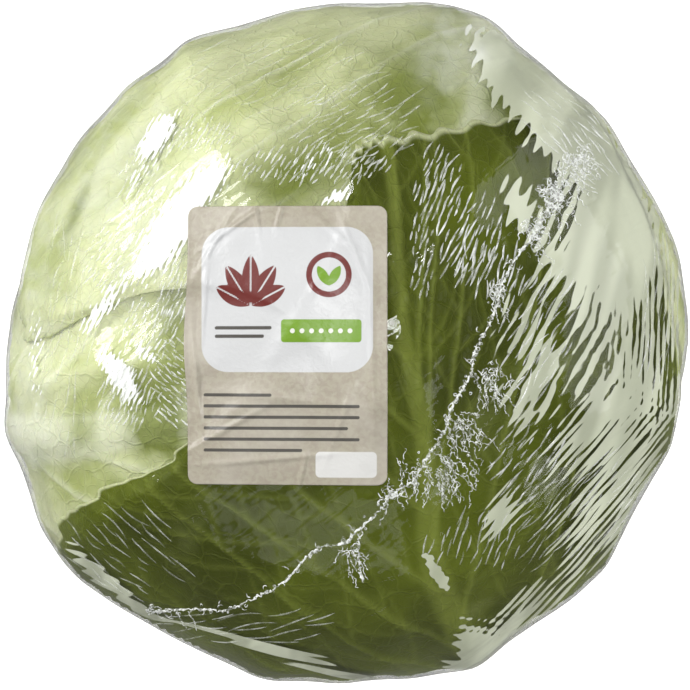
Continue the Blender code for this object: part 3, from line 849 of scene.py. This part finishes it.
def build_film(surfaces):
    """Clear film drawn over the leaves, gathered in pleats round an opening under the stump."""
    columns, rows = FILM_GRID
    opening = math.atan2(FILM_OPENING_RADIUS, MIDDLE.z)
    foot = math.atan2(FILM_FOOT_RADIUS, MIDDLE.z)
    tilts = np.concatenate([
        np.linspace(opening, foot, FILM_FOOT_ROWS, endpoint=False),
        np.linspace(foot, math.pi - FILM_POLE_GAP, rows - FILM_FOOT_ROWS),
    ])
    directions = round_directions(columns, tilts)
    under = outer_radius(surface_tree(surfaces), directions, plain_radius(directions))
    floor_radius = (MIDDLE.z - FILM_OVER_FLOOR) / np.maximum(np.cos(tilts), 0.05)[None, :]
    to_floor = np.broadcast_to(np.where(tilts < math.pi / 2, floor_radius, FAR), under.shape)
    filled = under.copy()
    filled[:, FILM_FOOT_ROWS] = to_floor[:, FILM_FOOT_ROWS]
    hull_tree = film_hull(filled[:, FILM_FOOT_ROWS:], directions[:, FILM_FOOT_ROWS:])
    hull = outer_radius(hull_tree, directions, under)
    hull = np.maximum(hull, under)
    film = hull + FILM_OVER_HULL - FILM_FOLLOWS * np.minimum(hull - under, FILM_DEEPEST_FOLLOWED)
    film = np.maximum(blurred(film, FILM_SMOOTHING), under + FILM_OVER_LEAF)
    turns = np.linspace(0, 2 * math.pi, columns, endpoint=False)[:, None]
    fade = np.clip(1 - np.degrees(tilts - foot) / FILM_PLEAT_REACH, 0, 1)[None, :] ** FILM_PLEAT_FADE
    uneven = np.sin(FILM_PLEATS * turns + 1.8 * np.sin(3 * turns) + 2.5 * tilts[None, :])
    film = film + FILM_PLEAT_HEIGHT * fade * (0.5 + 0.5 * uneven)
    film = np.minimum(film, to_floor)
    film[:, :FILM_FOOT_ROWS] = to_floor[:, :FILM_FOOT_ROWS]
    places = (np.array(MIDDLE) + directions * film[..., None]).reshape(-1, 3)
    faces = grid_quads(columns, rows, closed=True)
    lift = (film - under).reshape(-1)
    plan = places[:, :2] / MM
    rise = directions[..., 2].reshape(-1)
    upper = smooth_step(rise, *PATCHES_FADE)
    # The milky parts are partly film that stands off the leaves and partly a painted reflection of the soft
    # lights.
    milky_and_sheen = patchwork(MILKY_AND_SHEEN_PATCHES, *plan.T) * upper + LOOSE_MILK * smooth_step(lift, *LOOSE_LIFT)
    glare = patchwork(GLARE_PATCHES, *plan.T) * upper
    # The haze is partly the film's own and partly a painted reflection of the soft lights.
    haze_and_sheen = patchwork(HAZE_AND_SHEEN_PATCHES, *plan.T) * upper + SIDE_HAZE_AND_SHEEN * (1 - upper)
    values = {"milky_and_sheen": milky_and_sheen, "glare": glare, "haze_and_sheen": haze_and_sheen}
    values.update({name: share * upper for name, share in finger_shares(plan).items()})
    make_piece("stretch_film", places, faces, film_material(), "film", values)
    return surface_tree([(places, faces)])


def finger_shares(plan):
    """How far each way of the film's fingers holds at each plan place. The shares add up to 1."""
    shares = {}
    for name, x, y, reach in FINGER_PLACES:
        shares[name] = np.exp(-(((plan[:, 0] - x) ** 2 + (plan[:, 1] - y) ** 2) / reach**2)) + 1e-6
    total = sum(shares.values())
    return {name: share / total for name, share in shares.items()}


def drop_on(tree, x, y):
    """The place and the outward normal where a vertical line meets a surface from above."""
    place, normal, _, _ = tree.ray_cast(Vector((x, y, FAR)), Vector((0, 0, -1)))
    return (None, None) if place is None else (place, normal if normal.z > 0 else -normal)


def ridge_along(tree, plan, half_width, height, widths):
    """A low ridge along plan places, given in metres, as its places and quads. It is None off the film."""
    places = []
    for index, (x, y) in enumerate(plan):
        place, normal = drop_on(tree, x, y)
        if place is None or normal.z < RIDGE_LEAST_RISE:
            return None
        ahead = Vector(plan[min(index + 1, len(plan) - 1)]) - Vector(plan[max(index - 1, 0)])
        side = Vector((ahead.x, ahead.y, 0)).cross(normal).normalized() * half_width * widths[index]
        low = place + normal * RIDGE_OVER_FILM
        places.extend([low - side, low + normal * height * widths[index], low + side])
    index = np.arange(len(places)).reshape(-1, 3)
    quads = np.vstack([
        np.stack([index[:-1, s], index[:-1, s + 1], index[1:, s + 1], index[1:, s]], -1) for s in (0, 1)
    ])
    return np.array([tuple(place) for place in places]), quads


def join_ridges(name, ridges, material, strengths=None):
    """Makes one piece of many ridges."""
    places = []
    faces = []
    values = []
    for number, ridge in enumerate(ridges):
        if ridge is None:
            continue
        faces.append(ridge[1] + sum(len(p) for p in places))
        places.append(ridge[0])
        values.append(np.full(len(ridge[0]), 1.0 if strengths is None else strengths[number]))
    extra = {"strength": np.concatenate(values)}
    make_piece(name, np.vstack(places), np.vstack(faces), material, None, extra)


def build_ripples(film):
    """Short ripples of the film in patches of strokes that lie side by side."""
    ridges = []
    strengths = []
    taper = np.sin(np.linspace(0.12, math.pi - 0.12, RIPPLE_POINTS)) ** 0.7
    for x, y, half_x, half_y, angle, length, apart, strength in RIPPLES:
        turn = math.radians(angle)
        way = np.array([math.cos(turn), math.sin(turn)])
        side = np.array([-way[1], way[0]])
        reach = math.hypot(half_x, half_y)
        for row in np.arange(-reach, reach, apart):
            for step in np.arange(-reach, reach, length * RIPPLE_FILLS):
                loose = random_numbers.normal(size=6)
                centre = side * (row + RIPPLE_ROW_SCATTER * apart * loose[0])
                centre = centre + way * (step + RIPPLE_PLACE_SCATTER * length * loose[1])
                out = (centre[0] / half_x) ** 2 + (centre[1] / half_y) ** 2
                if out > 1 + RIPPLE_PATCH_EDGE * loose[2]:
                    continue
                half = 0.5 * length * math.exp(RIPPLE_LENGTH_SPREAD * loose[3])
                bend = RIPPLE_BEND * loose[4]
                t = np.linspace(-1, 1, RIPPLE_POINTS)[:, None]
                lean = RIPPLE_LEAN * loose[5]
                leaning = way * math.cos(lean) + side * math.sin(lean)
                plan = (np.array([x, y]) + centre + leaning * half * t + side * bend * half * t**2) * MM
                ridges.append(ridge_along(film, plan.tolist(), RIPPLE_HALF_WIDTH, RIPPLE_HEIGHT, taper))
                strengths.append(strength * random_numbers.uniform(0.5, 1.0))
    join_ridges("film_ripples", ridges, ripple_material(), strengths)


def build_crease(film):
    """The whitened crease across the film, with crackled threads round it."""
    ridges = []
    for stations in (CREASE, CREASE_BRANCH):
        count = len(stations) * CREASE_POINTS_A_STATION
        plan = smooth_curve(stations, np.linspace(0, 1, count))
        jitter = random_numbers.normal(size=plan.shape) * CREASE_JITTER
        widths = 0.35 + 0.9 * random_numbers.random(count) ** 2
        jagged = ((plan + jitter) * MM).tolist()
        ridges.append(ridge_along(film, jagged, CREASE_HALF_WIDTH, CREASE_HEIGHT, widths))
    for x, y, spread_x, spread_y, threads, loops, strands in CREASE_KNOTS:
        for number in range(threads + strands):
            start = np.array([x, y]) + random_numbers.normal(size=2) * (spread_x, spread_y) * 0.5
            if number >= threads:
                draw = crackle_strand
            else:
                draw = crackle_loop if random_numbers.random() < loops else crackle_thread
            ridges.append(draw(film, start))
    for place in smooth_curve(CREASE, np.linspace(0, 1, THREADS_ALONG_CREASE)):
        ridges.append(crackle_thread(film, place + random_numbers.normal(size=2) * 0.7))
    join_ridges("film_crease", ridges, crease_material())


def walk(start, turns, step):
    """Plan places reached from start by one step along each of the turns."""
    return start + np.cumsum(np.stack([np.cos(turns), np.sin(turns)], -1) * step, axis=0)


def thread_along(film, plan, widths):
    return ridge_along(film, (plan * MM).tolist(), THREAD_HALF_WIDTH, THREAD_HEIGHT, widths)


def crackle_thread(film, start):
    """A short thread of whitened film, which curls round a small cell about as often as not."""
    heading = random_numbers.uniform(0, 2 * math.pi)
    curl = random_numbers.choice((0.25, 0.80, -0.80, -0.35)) + random_numbers.normal() * 0.15
    step = random_numbers.uniform(0.18, 0.42)
    turns = heading + curl * np.arange(THREAD_POINTS) + 0.2 * random_numbers.normal(size=THREAD_POINTS)
    widths = np.sin(np.linspace(0.3, math.pi - 0.3, THREAD_POINTS)) * random_numbers.uniform(0.6, 1.3)
    return thread_along(film, walk(start, turns, step), widths)


def crackle_strand(film, start):
    """A long wavering strand of whitened film, as in a web."""
    heading = random_numbers.normal(math.radians(-72), 0.35)
    turns = heading + 0.75 * random_numbers.normal(size=STRAND_POINTS)
    widths = random_numbers.uniform(0.35, 1.1, STRAND_POINTS)
    return thread_along(film, walk(start, turns, STRAND_STEP), widths)


def crackle_loop(film, middle):
    """A small closed oval of whitened film round a wet spot."""
    turns = np.linspace(0, 2 * math.pi, LOOP_POINTS)
    lean = random_numbers.normal(math.radians(60), 0.5)
    long, short = random_numbers.uniform((0.7, 0.35), (1.3, 0.65))
    along = long * np.cos(turns)
    across = short * np.sin(turns) * (1 + 0.25 * np.cos(turns))
    x = middle[0] + along * math.cos(lean) - across * math.sin(lean)
    y = middle[1] + along * math.sin(lean) + across * math.cos(lean)
    return thread_along(film, np.stack([x, y], -1), 0.7 + 0.4 * np.abs(np.sin(turns)))


# The label's print, as signed distances in millimetres from its middle: less than 0 is inside

def rounded_box(x, y, middle_x, middle_y, half_x, half_y, radius):
    past_x = np.abs(x - middle_x) - half_x + radius
    past_y = np.abs(y - middle_y) - half_y + radius
    outside = np.hypot(np.maximum(past_x, 0), np.maximum(past_y, 0))
    return outside + np.minimum(np.maximum(past_x, past_y), 0) - radius


def petal(x, y, middle_x, middle_y, turn, length, width):
    """A leaf shape with two pointed ends, where two round outlines overlap."""
    turn = math.radians(turn)
    along = (x - middle_x) * math.cos(turn) + (y - middle_y) * math.sin(turn) - length / 2
    across = -(x - middle_x) * math.sin(turn) + (y - middle_y) * math.cos(turn)
    radius = (length**2 / 4 + width**2 / 4) / width
    return np.maximum(
        np.hypot(along, across - (radius - width / 2)), np.hypot(along, across + (radius - width / 2))
    ) - radius


def label_print(x, y):
    """The label's generic design: a pale panel with a fan of leaves, a green band and rows of rules."""
    fan = []
    for turn, length in FAN_LEAVES:
        lean = math.radians(turn)
        off_vein = np.abs((x - FAN_MIDDLE[0]) * math.sin(lean) - (y - FAN_MIDDLE[1]) * math.cos(lean))
        leaf = petal(x, y, *FAN_MIDDLE, turn, length, FAN_LEAF_WIDTH)
        fan.append(np.maximum(leaf, FAN_VEIN_HALF_WIDTH - off_vein))
    off_ring = np.abs(np.hypot(x - RING_MIDDLE[0], y - RING_MIDDLE[1]) - RING_RADIUS)
    sprig = [petal(x, y, *SPRIG_FOOT, turn, *SPRIG_LEAF) for turn in (60, 120)]
    dots = [
        np.hypot(x - DOT_PLACE[0] - DOT_STEP * number, y - DOT_PLACE[1]) - DOT_RADIUS
        for number in range(DOTS)
    ]
    rules = [rounded_box(x, y, *rule) for rule in UPPER_RULES]
    for number, half_length in enumerate(RULE_HALF_LENGTHS):
        middle = (RULE_PLACE[0] + half_length, RULE_PLACE[1] - RULE_STEP * number)
        rules.append(rounded_box(x, y, *middle, half_length, RULE_HALF_HEIGHT, RULE_RADIUS))
    shapes = {
        "panel": [rounded_box(x, y, *PANEL)],
        "motif": [*fan, off_ring - RING_HALF_WIDTH],
        "band": [rounded_box(x, y, *BAND), *sprig],
        "dots": dots,
        "rules": rules,
        "corner": [rounded_box(x, y, *CORNER_BOX)],
    }
    return {name: np.minimum.reduce(parts) for name, parts in shapes.items()}


def build_label(film):
    """A paper label with rounded corners, laid on the film over the crown and creased a little."""
    columns, rows = LABEL_GRID
    half_width = LABEL_WIDTH / 2
    half_length = LABEL_LENGTH / 2
    core = np.array([half_width - LABEL_CORNER_RADIUS, half_length - LABEL_CORNER_RADIUS])
    u, v = np.meshgrid(np.linspace(-1, 1, columns), np.linspace(-1, 1, rows), indexing="ij")
    plan = np.stack([u * half_width, v * half_length], -1)
    past = np.maximum(np.abs(plan) - core, 0)
    corner = (past > 0).all(-1)
    square = np.maximum(past.max(-1), 1e-9)
    rounder = square / np.maximum(np.linalg.norm(past, axis=-1), 1e-9)
    plan = np.where(corner[..., None], np.sign(plan) * (core + past * rounder[..., None]), plan)
    beside = np.exp(-(((plan[..., 1] - LABEL_BULGE_PLACE) / LABEL_BULGE_REACH) ** 2))
    plan[..., 0] -= LABEL_BULGE * beside * smooth_step(-u, 0.4, 1)
    x, y = plan[..., 0] / MM, plan[..., 1] / MM
    wrinkle = patchwork(LABEL_WRINKLES, x, y) * MM
    places = np.empty((columns, rows, 3))
    for index in np.ndindex(columns, rows):
        places[index] = drop_on(film, *(plan[index] + LABEL_MIDDLE))[0]
    lies = np.maximum(blurred(places[..., 2], LABEL_SMOOTHING), places[..., 2])
    heights = lies + LABEL_GAP + np.maximum(wrinkle, LABEL_DEEPEST_WRINKLE)
    outer = np.dstack([places[..., :2], heights])
    inner = outer - (0, 0, LABEL_THICKNESS)
    shell, faces, source = leaf_shell(outer, inner, columns, rows)
    values = {key: numbers.ravel()[source] for key, numbers in label_print(x, y).items()}
    make_piece("paper_label", shell, faces, label_material(), "label", values)


# Materials. Each helper adds one node and gives back its output.

def start_material(name):
    made = bpy.data.materials.new(name)
    made.use_nodes = True
    return made, made.node_tree, made.node_tree.nodes["Principled BSDF"]


def set_inputs(tree, node, inputs):
    """Links an output to each input, or sets it to a number, a colour or a vector."""
    for key, value in inputs.items():
        socket = node.inputs[key]
        if isinstance(value, bpy.types.NodeSocket):
            tree.links.new(value, socket)
        elif isinstance(value, tuple) and socket.type == "RGBA":
            socket.default_value = (*value, 1.0)
        else:
            socket.default_value = value


def add_node(tree, kind, output, inputs, **settings):
    """Adds a shader node of a kind, with its settings and inputs."""
    node = tree.nodes.new("ShaderNode" + kind)
    for key, value in settings.items():
        setattr(node, key, value)
    set_inputs(tree, node, inputs)
    return node.outputs[output]


def attribute(tree, name, output="Fac"):
    return add_node(tree, "Attribute", output, {}, attribute_name=name)


def place_in_object(tree):
    return add_node(tree, "TexCoord", "Object", {})


def stretched(tree, vector, angle, lengths):
    """Places for a texture whose features have these lengths along, across and up, turned about Z."""
    inputs = {"Vector": vector, "Rotation": (0, 0, math.radians(angle)), "Scale": lengths}
    return add_node(tree, "Mapping", "Vector", inputs, vector_type="TEXTURE")


def noise_at(tree, vector, scale, detail=3.0, distortion=0.0, output="Fac"):
    inputs = {"Vector": vector, "Scale": scale, "Detail": detail, "Distortion": distortion}
    return add_node(tree, "TexNoise", output, inputs)


def cells_at(tree, vector, scale, feature="DISTANCE_TO_EDGE", dimensions="3D"):
    settings = {"voronoi_dimensions": dimensions, "feature": feature}
    return add_node(tree, "TexVoronoi", "Distance", {"Vector": vector, "Scale": scale}, **settings)


def stripes_at(tree, vector, angle, length, pitch, distortion):
    """Even stripes at an angle in plan, each broken up along its length."""
    rows = stretched(tree, vector, angle, (length, pitch / WAVE_PERIOD, length))
    inputs = {"Vector": rows, "Scale": 1.0, "Distortion": distortion, "Detail": 0.0, "Detail Scale": 1.0}
    waves = add_node(tree, "TexWave", "Fac", inputs, bands_direction="Y")
    spots = stretched(tree, vector, angle, (length, pitch, length))
    broken = stepped(tree, noise_at(tree, spots, 1.0, 1.0), 0.32, 0.68)
    return scaled(tree, reckon(tree, "ADD", waves, broken), 0.5)


def stepped(tree, value, low, high, from_value=0.0, to_value=1.0):
    """from_value below low, to_value above high, and smooth between them."""
    inputs = {"Value": value, "From Min": low, "From Max": high, "To Min": from_value, "To Max": to_value}
    return add_node(tree, "MapRange", "Result", inputs, interpolation_type="SMOOTHSTEP")


def reckon(tree, operation, first, second, clamp=False):
    return add_node(tree, "Math", 0, {0: first, 1: second}, operation=operation, use_clamp=clamp)


def scaled(tree, value, factor):
    return reckon(tree, "MULTIPLY", value, factor)


def mixed(tree, share, first, second):
    """The first colour where share is 0, and the second where it is 1."""
    return add_node(tree, "Mix", 2, {"Factor": share, 6: first, 7: second}, data_type="RGBA")


def layered(tree, colour, layers):
    """A colour with other colours laid over it in turn, each given as its share and itself."""
    for share, over in layers:
        colour = mixed(tree, share, colour, over)
    return colour


def bumped(tree, height, distance, strength=1.0, normal=None):
    inputs = {"Strength": strength, "Distance": distance, "Height": height}
    if normal is not None:
        inputs["Normal"] = normal
    return add_node(tree, "Bump", "Normal", inputs)


def finish_leaf(tree, shader, colour, net, roughness):
    """Puts the fine net of veins and the waxy surface on a leaf."""
    place = place_in_object(tree)
    relief = reckon(tree, "ADD", net, scaled(tree, noise_at(tree, place, 900.0, 1.0), 0.35))
    sheen = stepped(tree, noise_at(tree, place, 60.0, 1.0), 0.3, 0.7, roughness, roughness + SHEEN_RANGE)
    set_inputs(tree, shader, {
        "Normal": bumped(tree, relief, NET_HEIGHT, 0.8),
        "Base Color": colour,
        "Roughness": sheen,
        "Specular IOR Level": 0.10,
        "Subsurface Weight": 0.08,
        "Subsurface Radius": (0.6, 1.0, 0.2),
        "Subsurface Scale": 0.002,
    })


def vein_net(tree):
    """Thin lines round small cells, as the finest veins are, and stronger round the larger ones."""
    flat = attribute(tree, "flat", "Vector")
    drift = noise_at(tree, flat, 0.25, 2.0, output="Color")
    shifted = add_node(tree, "VectorMath", 0, {0: drift, 1: NET_DRIFT, 2: flat}, operation="MULTIPLY_ADD")
    coarse = stepped(tree, cells_at(tree, shifted, 0.21, dimensions="2D"), 0.0, 0.075, 1.0, 0.0)
    fine = stepped(tree, cells_at(tree, shifted, 0.60, dimensions="2D"), 0.0, 0.09, 1.0, 0.0)
    return reckon(tree, "MAXIMUM", coarse, scaled(tree, fine, 0.45))


def dark_leaf_material():
    """Deep olive green with a grey bloom between pale green veins, and a pale torn edge."""
    made, tree, shader = start_material("dark_wrapper_leaf")
    place = place_in_object(tree)
    net = vein_net(tree)
    net_share, twig_share, vein_share = DARK_VEIN_SHARES
    colour = layered(tree, DEEP_GREEN, (
        (stepped(tree, noise_at(tree, place, 22.0, 4.0), 0.38, 0.66), LEAF_GREEN),
        (stepped(tree, noise_at(tree, place, 38.0, 5.0, 0.6), 0.52, 0.74, 0.0, 0.55), BLOOM_GREEN),
        (scaled(tree, net, net_share), DARK_VEIN),
        (scaled(tree, attribute(tree, "twig"), twig_share), DARK_VEIN),
        (scaled(tree, attribute(tree, "vein"), vein_share), DARK_VEIN),
        (stepped(tree, attribute(tree, "rib"), 0.45, 0.95, 0.0, 0.60), DARK_VEIN),
        (stepped(tree, attribute(tree, "along"), 0.62, 0.20, 0.0, 0.75), MID_GREEN),
        (stepped(tree, attribute(tree, "from_edge"), 0.8, 0.2, 0.0, 0.8), PALE_GREEN),
    ))
    finish_leaf(tree, shader, colour, net, 0.42)
    return made


def pale_leaf_material(name):
    """Pale green in bands that follow the side veins, whitish at the rib, with greener patches and a patch
    of painted shade beside the rib.
    """
    made, tree, shader = start_material(name)
    place = place_in_object(tree)
    net = vein_net(tree)
    net_share, twig_share, vein_share = PALE_VEIN_SHARES
    bands = noise_at(tree, stretched(tree, place, *PALE_BANDS), 1.0, 4.0, 0.5)
    mottle = stepped(tree, noise_at(tree, place, 55.0, 5.0, 0.4), 0.30, 0.62, 0.35, 1.0)
    # Greener patches, one of which is painted shade beside the rib.
    fresh_and_shaded = reckon(tree, "MULTIPLY", attribute(tree, "greener_and_shaded"), mottle, clamp=True)
    colour = layered(tree, PALE_GREEN, (
        (stepped(tree, bands, 0.44, 0.66, 0.0, 0.75), MID_GREEN),
        (scaled(tree, net, net_share), PALE_GREEN),
        (scaled(tree, attribute(tree, "twig"), twig_share), PALE_GREEN),
        (scaled(tree, attribute(tree, "vein"), vein_share), WHITE_GREEN),
        (stepped(tree, attribute(tree, "rib"), 0.15, 0.60), WHITE_GREEN),
        (scaled(tree, fresh_and_shaded, 0.88), FRESH_GREEN_AND_SHADE),
        (stepped(tree, attribute(tree, "from_edge"), 1.2, 0.2, 0.0, 0.3), MID_GREEN),
    ))
    finish_leaf(tree, shader, colour, net, 0.40)
    return made


def inner_leaf_material():
    """The light green of leaves that have seen little light."""
    made, tree, shader = start_material("inner_leaf")
    place = place_in_object(tree)
    net = stepped(tree, cells_at(tree, place, 220.0), 0.0, 0.09, 1.0, 0.0)
    colour = layered(tree, PALE_GREEN, (
        (stepped(tree, noise_at(tree, place, 26.0, 4.0), 0.35, 0.65), MID_GREEN),
        (scaled(tree, net, 0.3), WHITE_GREEN),
        (stepped(tree, attribute(tree, "rib"), 0.25, 0.9), WHITE_GREEN),
    ))
    finish_leaf(tree, shader, colour, net, 0.42)
    return made


def stump_material():
    """Pale pith with fine dark pits."""
    made, tree, shader = start_material("cut_stump")
    place = place_in_object(tree)
    pits = stepped(tree, cells_at(tree, place, 420.0, "F1"), 0.10, 0.30)
    pith = stepped(tree, noise_at(tree, place, 160.0, 4.0), 0.35, 0.65)
    colour = mixed(tree, scaled(tree, pits, 0.5), PIT_BROWN, mixed(tree, pith, PITH, PITH_SHADE))
    set_inputs(tree, shader, {
        "Base Color": colour,
        "Normal": bumped(tree, pits, 0.0004),
        "Roughness": stepped(tree, pith, 0.0, 1.0, 0.5, 0.7),
    })
    return made


def fingered(tree, name, fingers):
    """1 where a patch and the fingers on it together reach the edge, and 0 outside."""
    reach = reckon(tree, "ADD", attribute(tree, name), scaled(tree, fingers, FINGER_DEPTH))
    return stepped(tree, reach, *FINGER_EDGE)


def film_material():
    """Clear, glossy and finely wrinkled, and milky where it stands off the leaves and where a painted
    reflection of the soft lights lies on it.
    """
    made, tree, shader = start_material("stretch_film")
    place = place_in_object(tree)
    swell = noise_at(tree, place, 44.0, 0.0)
    streaks = noise_at(tree, stretched(tree, place, *FILM_STREAKS), 1.0, 1.0, 0.6)
    other = noise_at(tree, stretched(tree, place, *FILM_CROSS_STREAKS), 1.0, 1.0)
    crinkle = noise_at(tree, place, 170.0, 2.0)
    relief = reckon(tree, "ADD", streaks, scaled(tree, other, 0.6))
    relief = reckon(tree, "ADD", relief, scaled(tree, crinkle, 0.5))
    normal = bumped(tree, swell, FILM_SWELL_HEIGHT, FILM_BUMP_STRENGTH)
    normal = bumped(tree, relief, FILM_WRINKLE_HEIGHT, FILM_BUMP_STRENGTH, normal)

    fingers = 0.0
    for name, angle, length, pitch in FINGERS:
        stripes = stripes_at(tree, place, angle, length, pitch, FINGER_WAVINESS)
        fingers = reckon(tree, "ADD", fingers, scaled(tree, stripes, attribute(tree, name)))
    # Milky film, partly a painted reflection of the soft lights, broken up by fingers of wet film.
    dry_and_sheen = fingered(tree, "milky_and_sheen", fingers)
    shine = fingered(tree, "glare", stripes_at(tree, place, *TEETH))
    clouds = noise_at(tree, stretched(tree, place, *FILM_CLOUDS), 1.0, 1.0)
    dry_and_sheen = scaled(tree, dry_and_sheen, stepped(tree, clouds, 0.35, 0.62, 0.62, 0.88))
    # Haze, partly a painted reflection of the soft lights, whitens the film as the glare does.
    streaky = noise_at(tree, stretched(tree, place, 0, HAZE_AND_SHEEN_STREAKS), 1.0, 1.0)
    haze_and_sheen = scaled(tree, attribute(tree, "haze_and_sheen"), stepped(tree, streaky, 0.32, 0.70, 0.45, 1.0))
    shine = reckon(tree, "MAXIMUM", shine, haze_and_sheen)
    set_inputs(tree, shader, {
        "Base Color": mixed(tree, stepped(tree, shine, 0.0, 0.15), MILK_AND_SHEEN, WHITE),
        "Roughness": 0.35,
        "Specular IOR Level": 0.3,
        "Normal": normal,
    })

    milky_and_sheen = reckon(tree, "MAXIMUM", dry_and_sheen, scaled(tree, shine, 0.90))
    clear = add_node(tree, "BsdfTransparent", 0, {})
    veil = add_node(tree, "MixShader", 0, {0: milky_and_sheen, 1: clear, 2: shader.outputs[0]})
    gloss = add_node(tree, "BsdfGlossy", 0, {"Roughness": FILM_GLOSS_ROUGHNESS, "Normal": normal})
    edge_on = add_node(tree, "Fresnel", 0, {"IOR": FILM_IOR, "Normal": normal})
    share = reckon(tree, "MINIMUM", edge_on, FILM_MOST_GLOSS)
    both = add_node(tree, "MixShader", 0, {0: share, 1: veil, 2: gloss})
    tree.links.new(both, tree.nodes["Material Output"].inputs["Surface"])
    return made


def ripple_material():
    """Film folded on itself, which catches the light as a thin white line."""
    made, tree, shader = start_material("film_ripple")
    broken = stepped(tree, noise_at(tree, place_in_object(tree), 420.0, 2.0), 0.35, 0.65, 0.35, 1.0)
    shown = scaled(tree, attribute(tree, "strength"), broken)
    set_inputs(tree, shader, {
        "Base Color": WHITE,
        "Roughness": 0.18,
        "Specular IOR Level": 0.8,
        "Alpha": scaled(tree, shown, 0.85),
    })
    return made


def crease_material():
    """Film that has been stretched until it turned white."""
    made, tree, shader = start_material("film_crease")
    broken = stepped(tree, noise_at(tree, place_in_object(tree), 900.0), 0.38, 0.60, 0.25, 0.95)
    set_inputs(tree, shader, {"Base Color": WHITE, "Roughness": 0.3, "Alpha": broken})
    return made


def label_material():
    """Kraft-coloured paper with the label's print on it."""
    made, tree, shader = start_material("label_paper")
    place = place_in_object(tree)
    fibre = noise_at(tree, place, 700.0, 4.0, 0.4)
    cloud = noise_at(tree, place, 60.0, 4.0)
    colour = layered(tree, KRAFT, (
        (stepped(tree, fibre, 0.35, 0.65), KRAFT_SHADE),
        (stepped(tree, cloud, 0.4, 0.7, 0.0, 0.4), KRAFT_LIGHT),
    ))
    inks = ((stepped(tree, attribute(tree, name), 0.10, -0.10), ink) for name, ink in INKS)
    set_inputs(tree, shader, {
        "Base Color": layered(tree, colour, inks),
        "Roughness": stepped(tree, cloud, 0.3, 0.7, 0.34, 0.50),
        "Normal": bumped(tree, reckon(tree, "ADD", fibre, cloud), 0.0003, 0.5),
    })
    return made


# Floor, lights and camera

def build_floor():
    """A plain white floor that glows a little, so that it stays white. The gloss doesn't mirror it."""
    mesh = bpy.data.meshes.new("floor")
    size = FLOOR_HALF_SIZE
    corners = [(-size, -size, 0), (size, -size, 0), (size, size, 0), (-size, size, 0)]
    mesh.from_pydata(corners, [], [(0, 1, 2, 3)])
    made, tree, shader = start_material("floor")
    grain = noise_at(tree, place_in_object(tree), 30.0)
    set_inputs(tree, shader, {
        "Roughness": stepped(tree, grain, 0.3, 0.7, 0.85, 0.95),
        "Base Color": FLOOR_WHITE,
        "Emission Color": (1.0, 1.0, 1.0),
        "Emission Strength": FLOOR_GLOW,
    })
    mesh.materials.append(made)
    floor = bpy.data.objects.new("floor", mesh)
    bpy.context.scene.collection.objects.link(floor)
    floor.visible_glossy = False


def add_light(name, azimuth, elevation, distance, width, height, radiance):
    """A soft box that faces the middle of the head. radiance is how bright its surface looks."""
    light = bpy.data.lights.new(name, "AREA")
    light.shape = "RECTANGLE"
    light.size = width
    light.size_y = height
    light.energy = radiance * math.pi * width * height
    lamp = bpy.data.objects.new(name, light)
    way = direction_at(azimuth, elevation)
    lamp.location = MIDDLE + way * distance
    lamp.rotation_euler = way.to_track_quat("Z", "Y").to_euler()
    bpy.context.scene.collection.objects.link(lamp)


def build_world():
    """Even white light from all round."""
    world = bpy.data.worlds.new("studio")
    world.use_nodes = True
    background = world.node_tree.nodes["Background"]
    background.inputs["Color"].default_value = (1.0, 1.0, 1.0, 1.0)
    background.inputs["Strength"].default_value = WORLD_BRIGHTNESS
    bpy.context.scene.world = world


def build_camera():
    """A camera high above the crown that looks straight down, with +Y up in the picture."""
    camera = bpy.data.cameras.new("camera")
    camera.sensor_fit = "HORIZONTAL"
    camera.angle = math.radians(CAMERA_VIEW_ANGLE)
    camera.clip_start = CAMERA_CLIP_START
    eye = bpy.data.objects.new("camera", camera)
    eye.location = CAMERA_PLACE
    bpy.context.scene.collection.objects.link(eye)
    bpy.context.scene.camera = eye


def main():
    bpy.context.scene.view_settings.view_transform = "Standard"
    build_camera()
    for light in LIGHTS:
        add_light(*light)
    build_world()
    build_floor()
    surfaces = []
    inner = inner_leaf_material()
    build_head(surfaces, inner)
    build_stem()
    for name in ("leaf_6", "leaf_5", "leaf_4"):
        build_leaf(name, surfaces, inner)
    build_leaf("leaf_3", surfaces, pale_leaf_material("mottled_wrapper_leaf"))
    build_leaf("leaf_2", surfaces, pale_leaf_material("pale_wrapper_leaf"))
    build_leaf("leaf_1", surfaces, dark_leaf_material())
    film = build_film(surfaces)
    build_ripples(film)
    build_crease(film)
    build_label(film)


main()
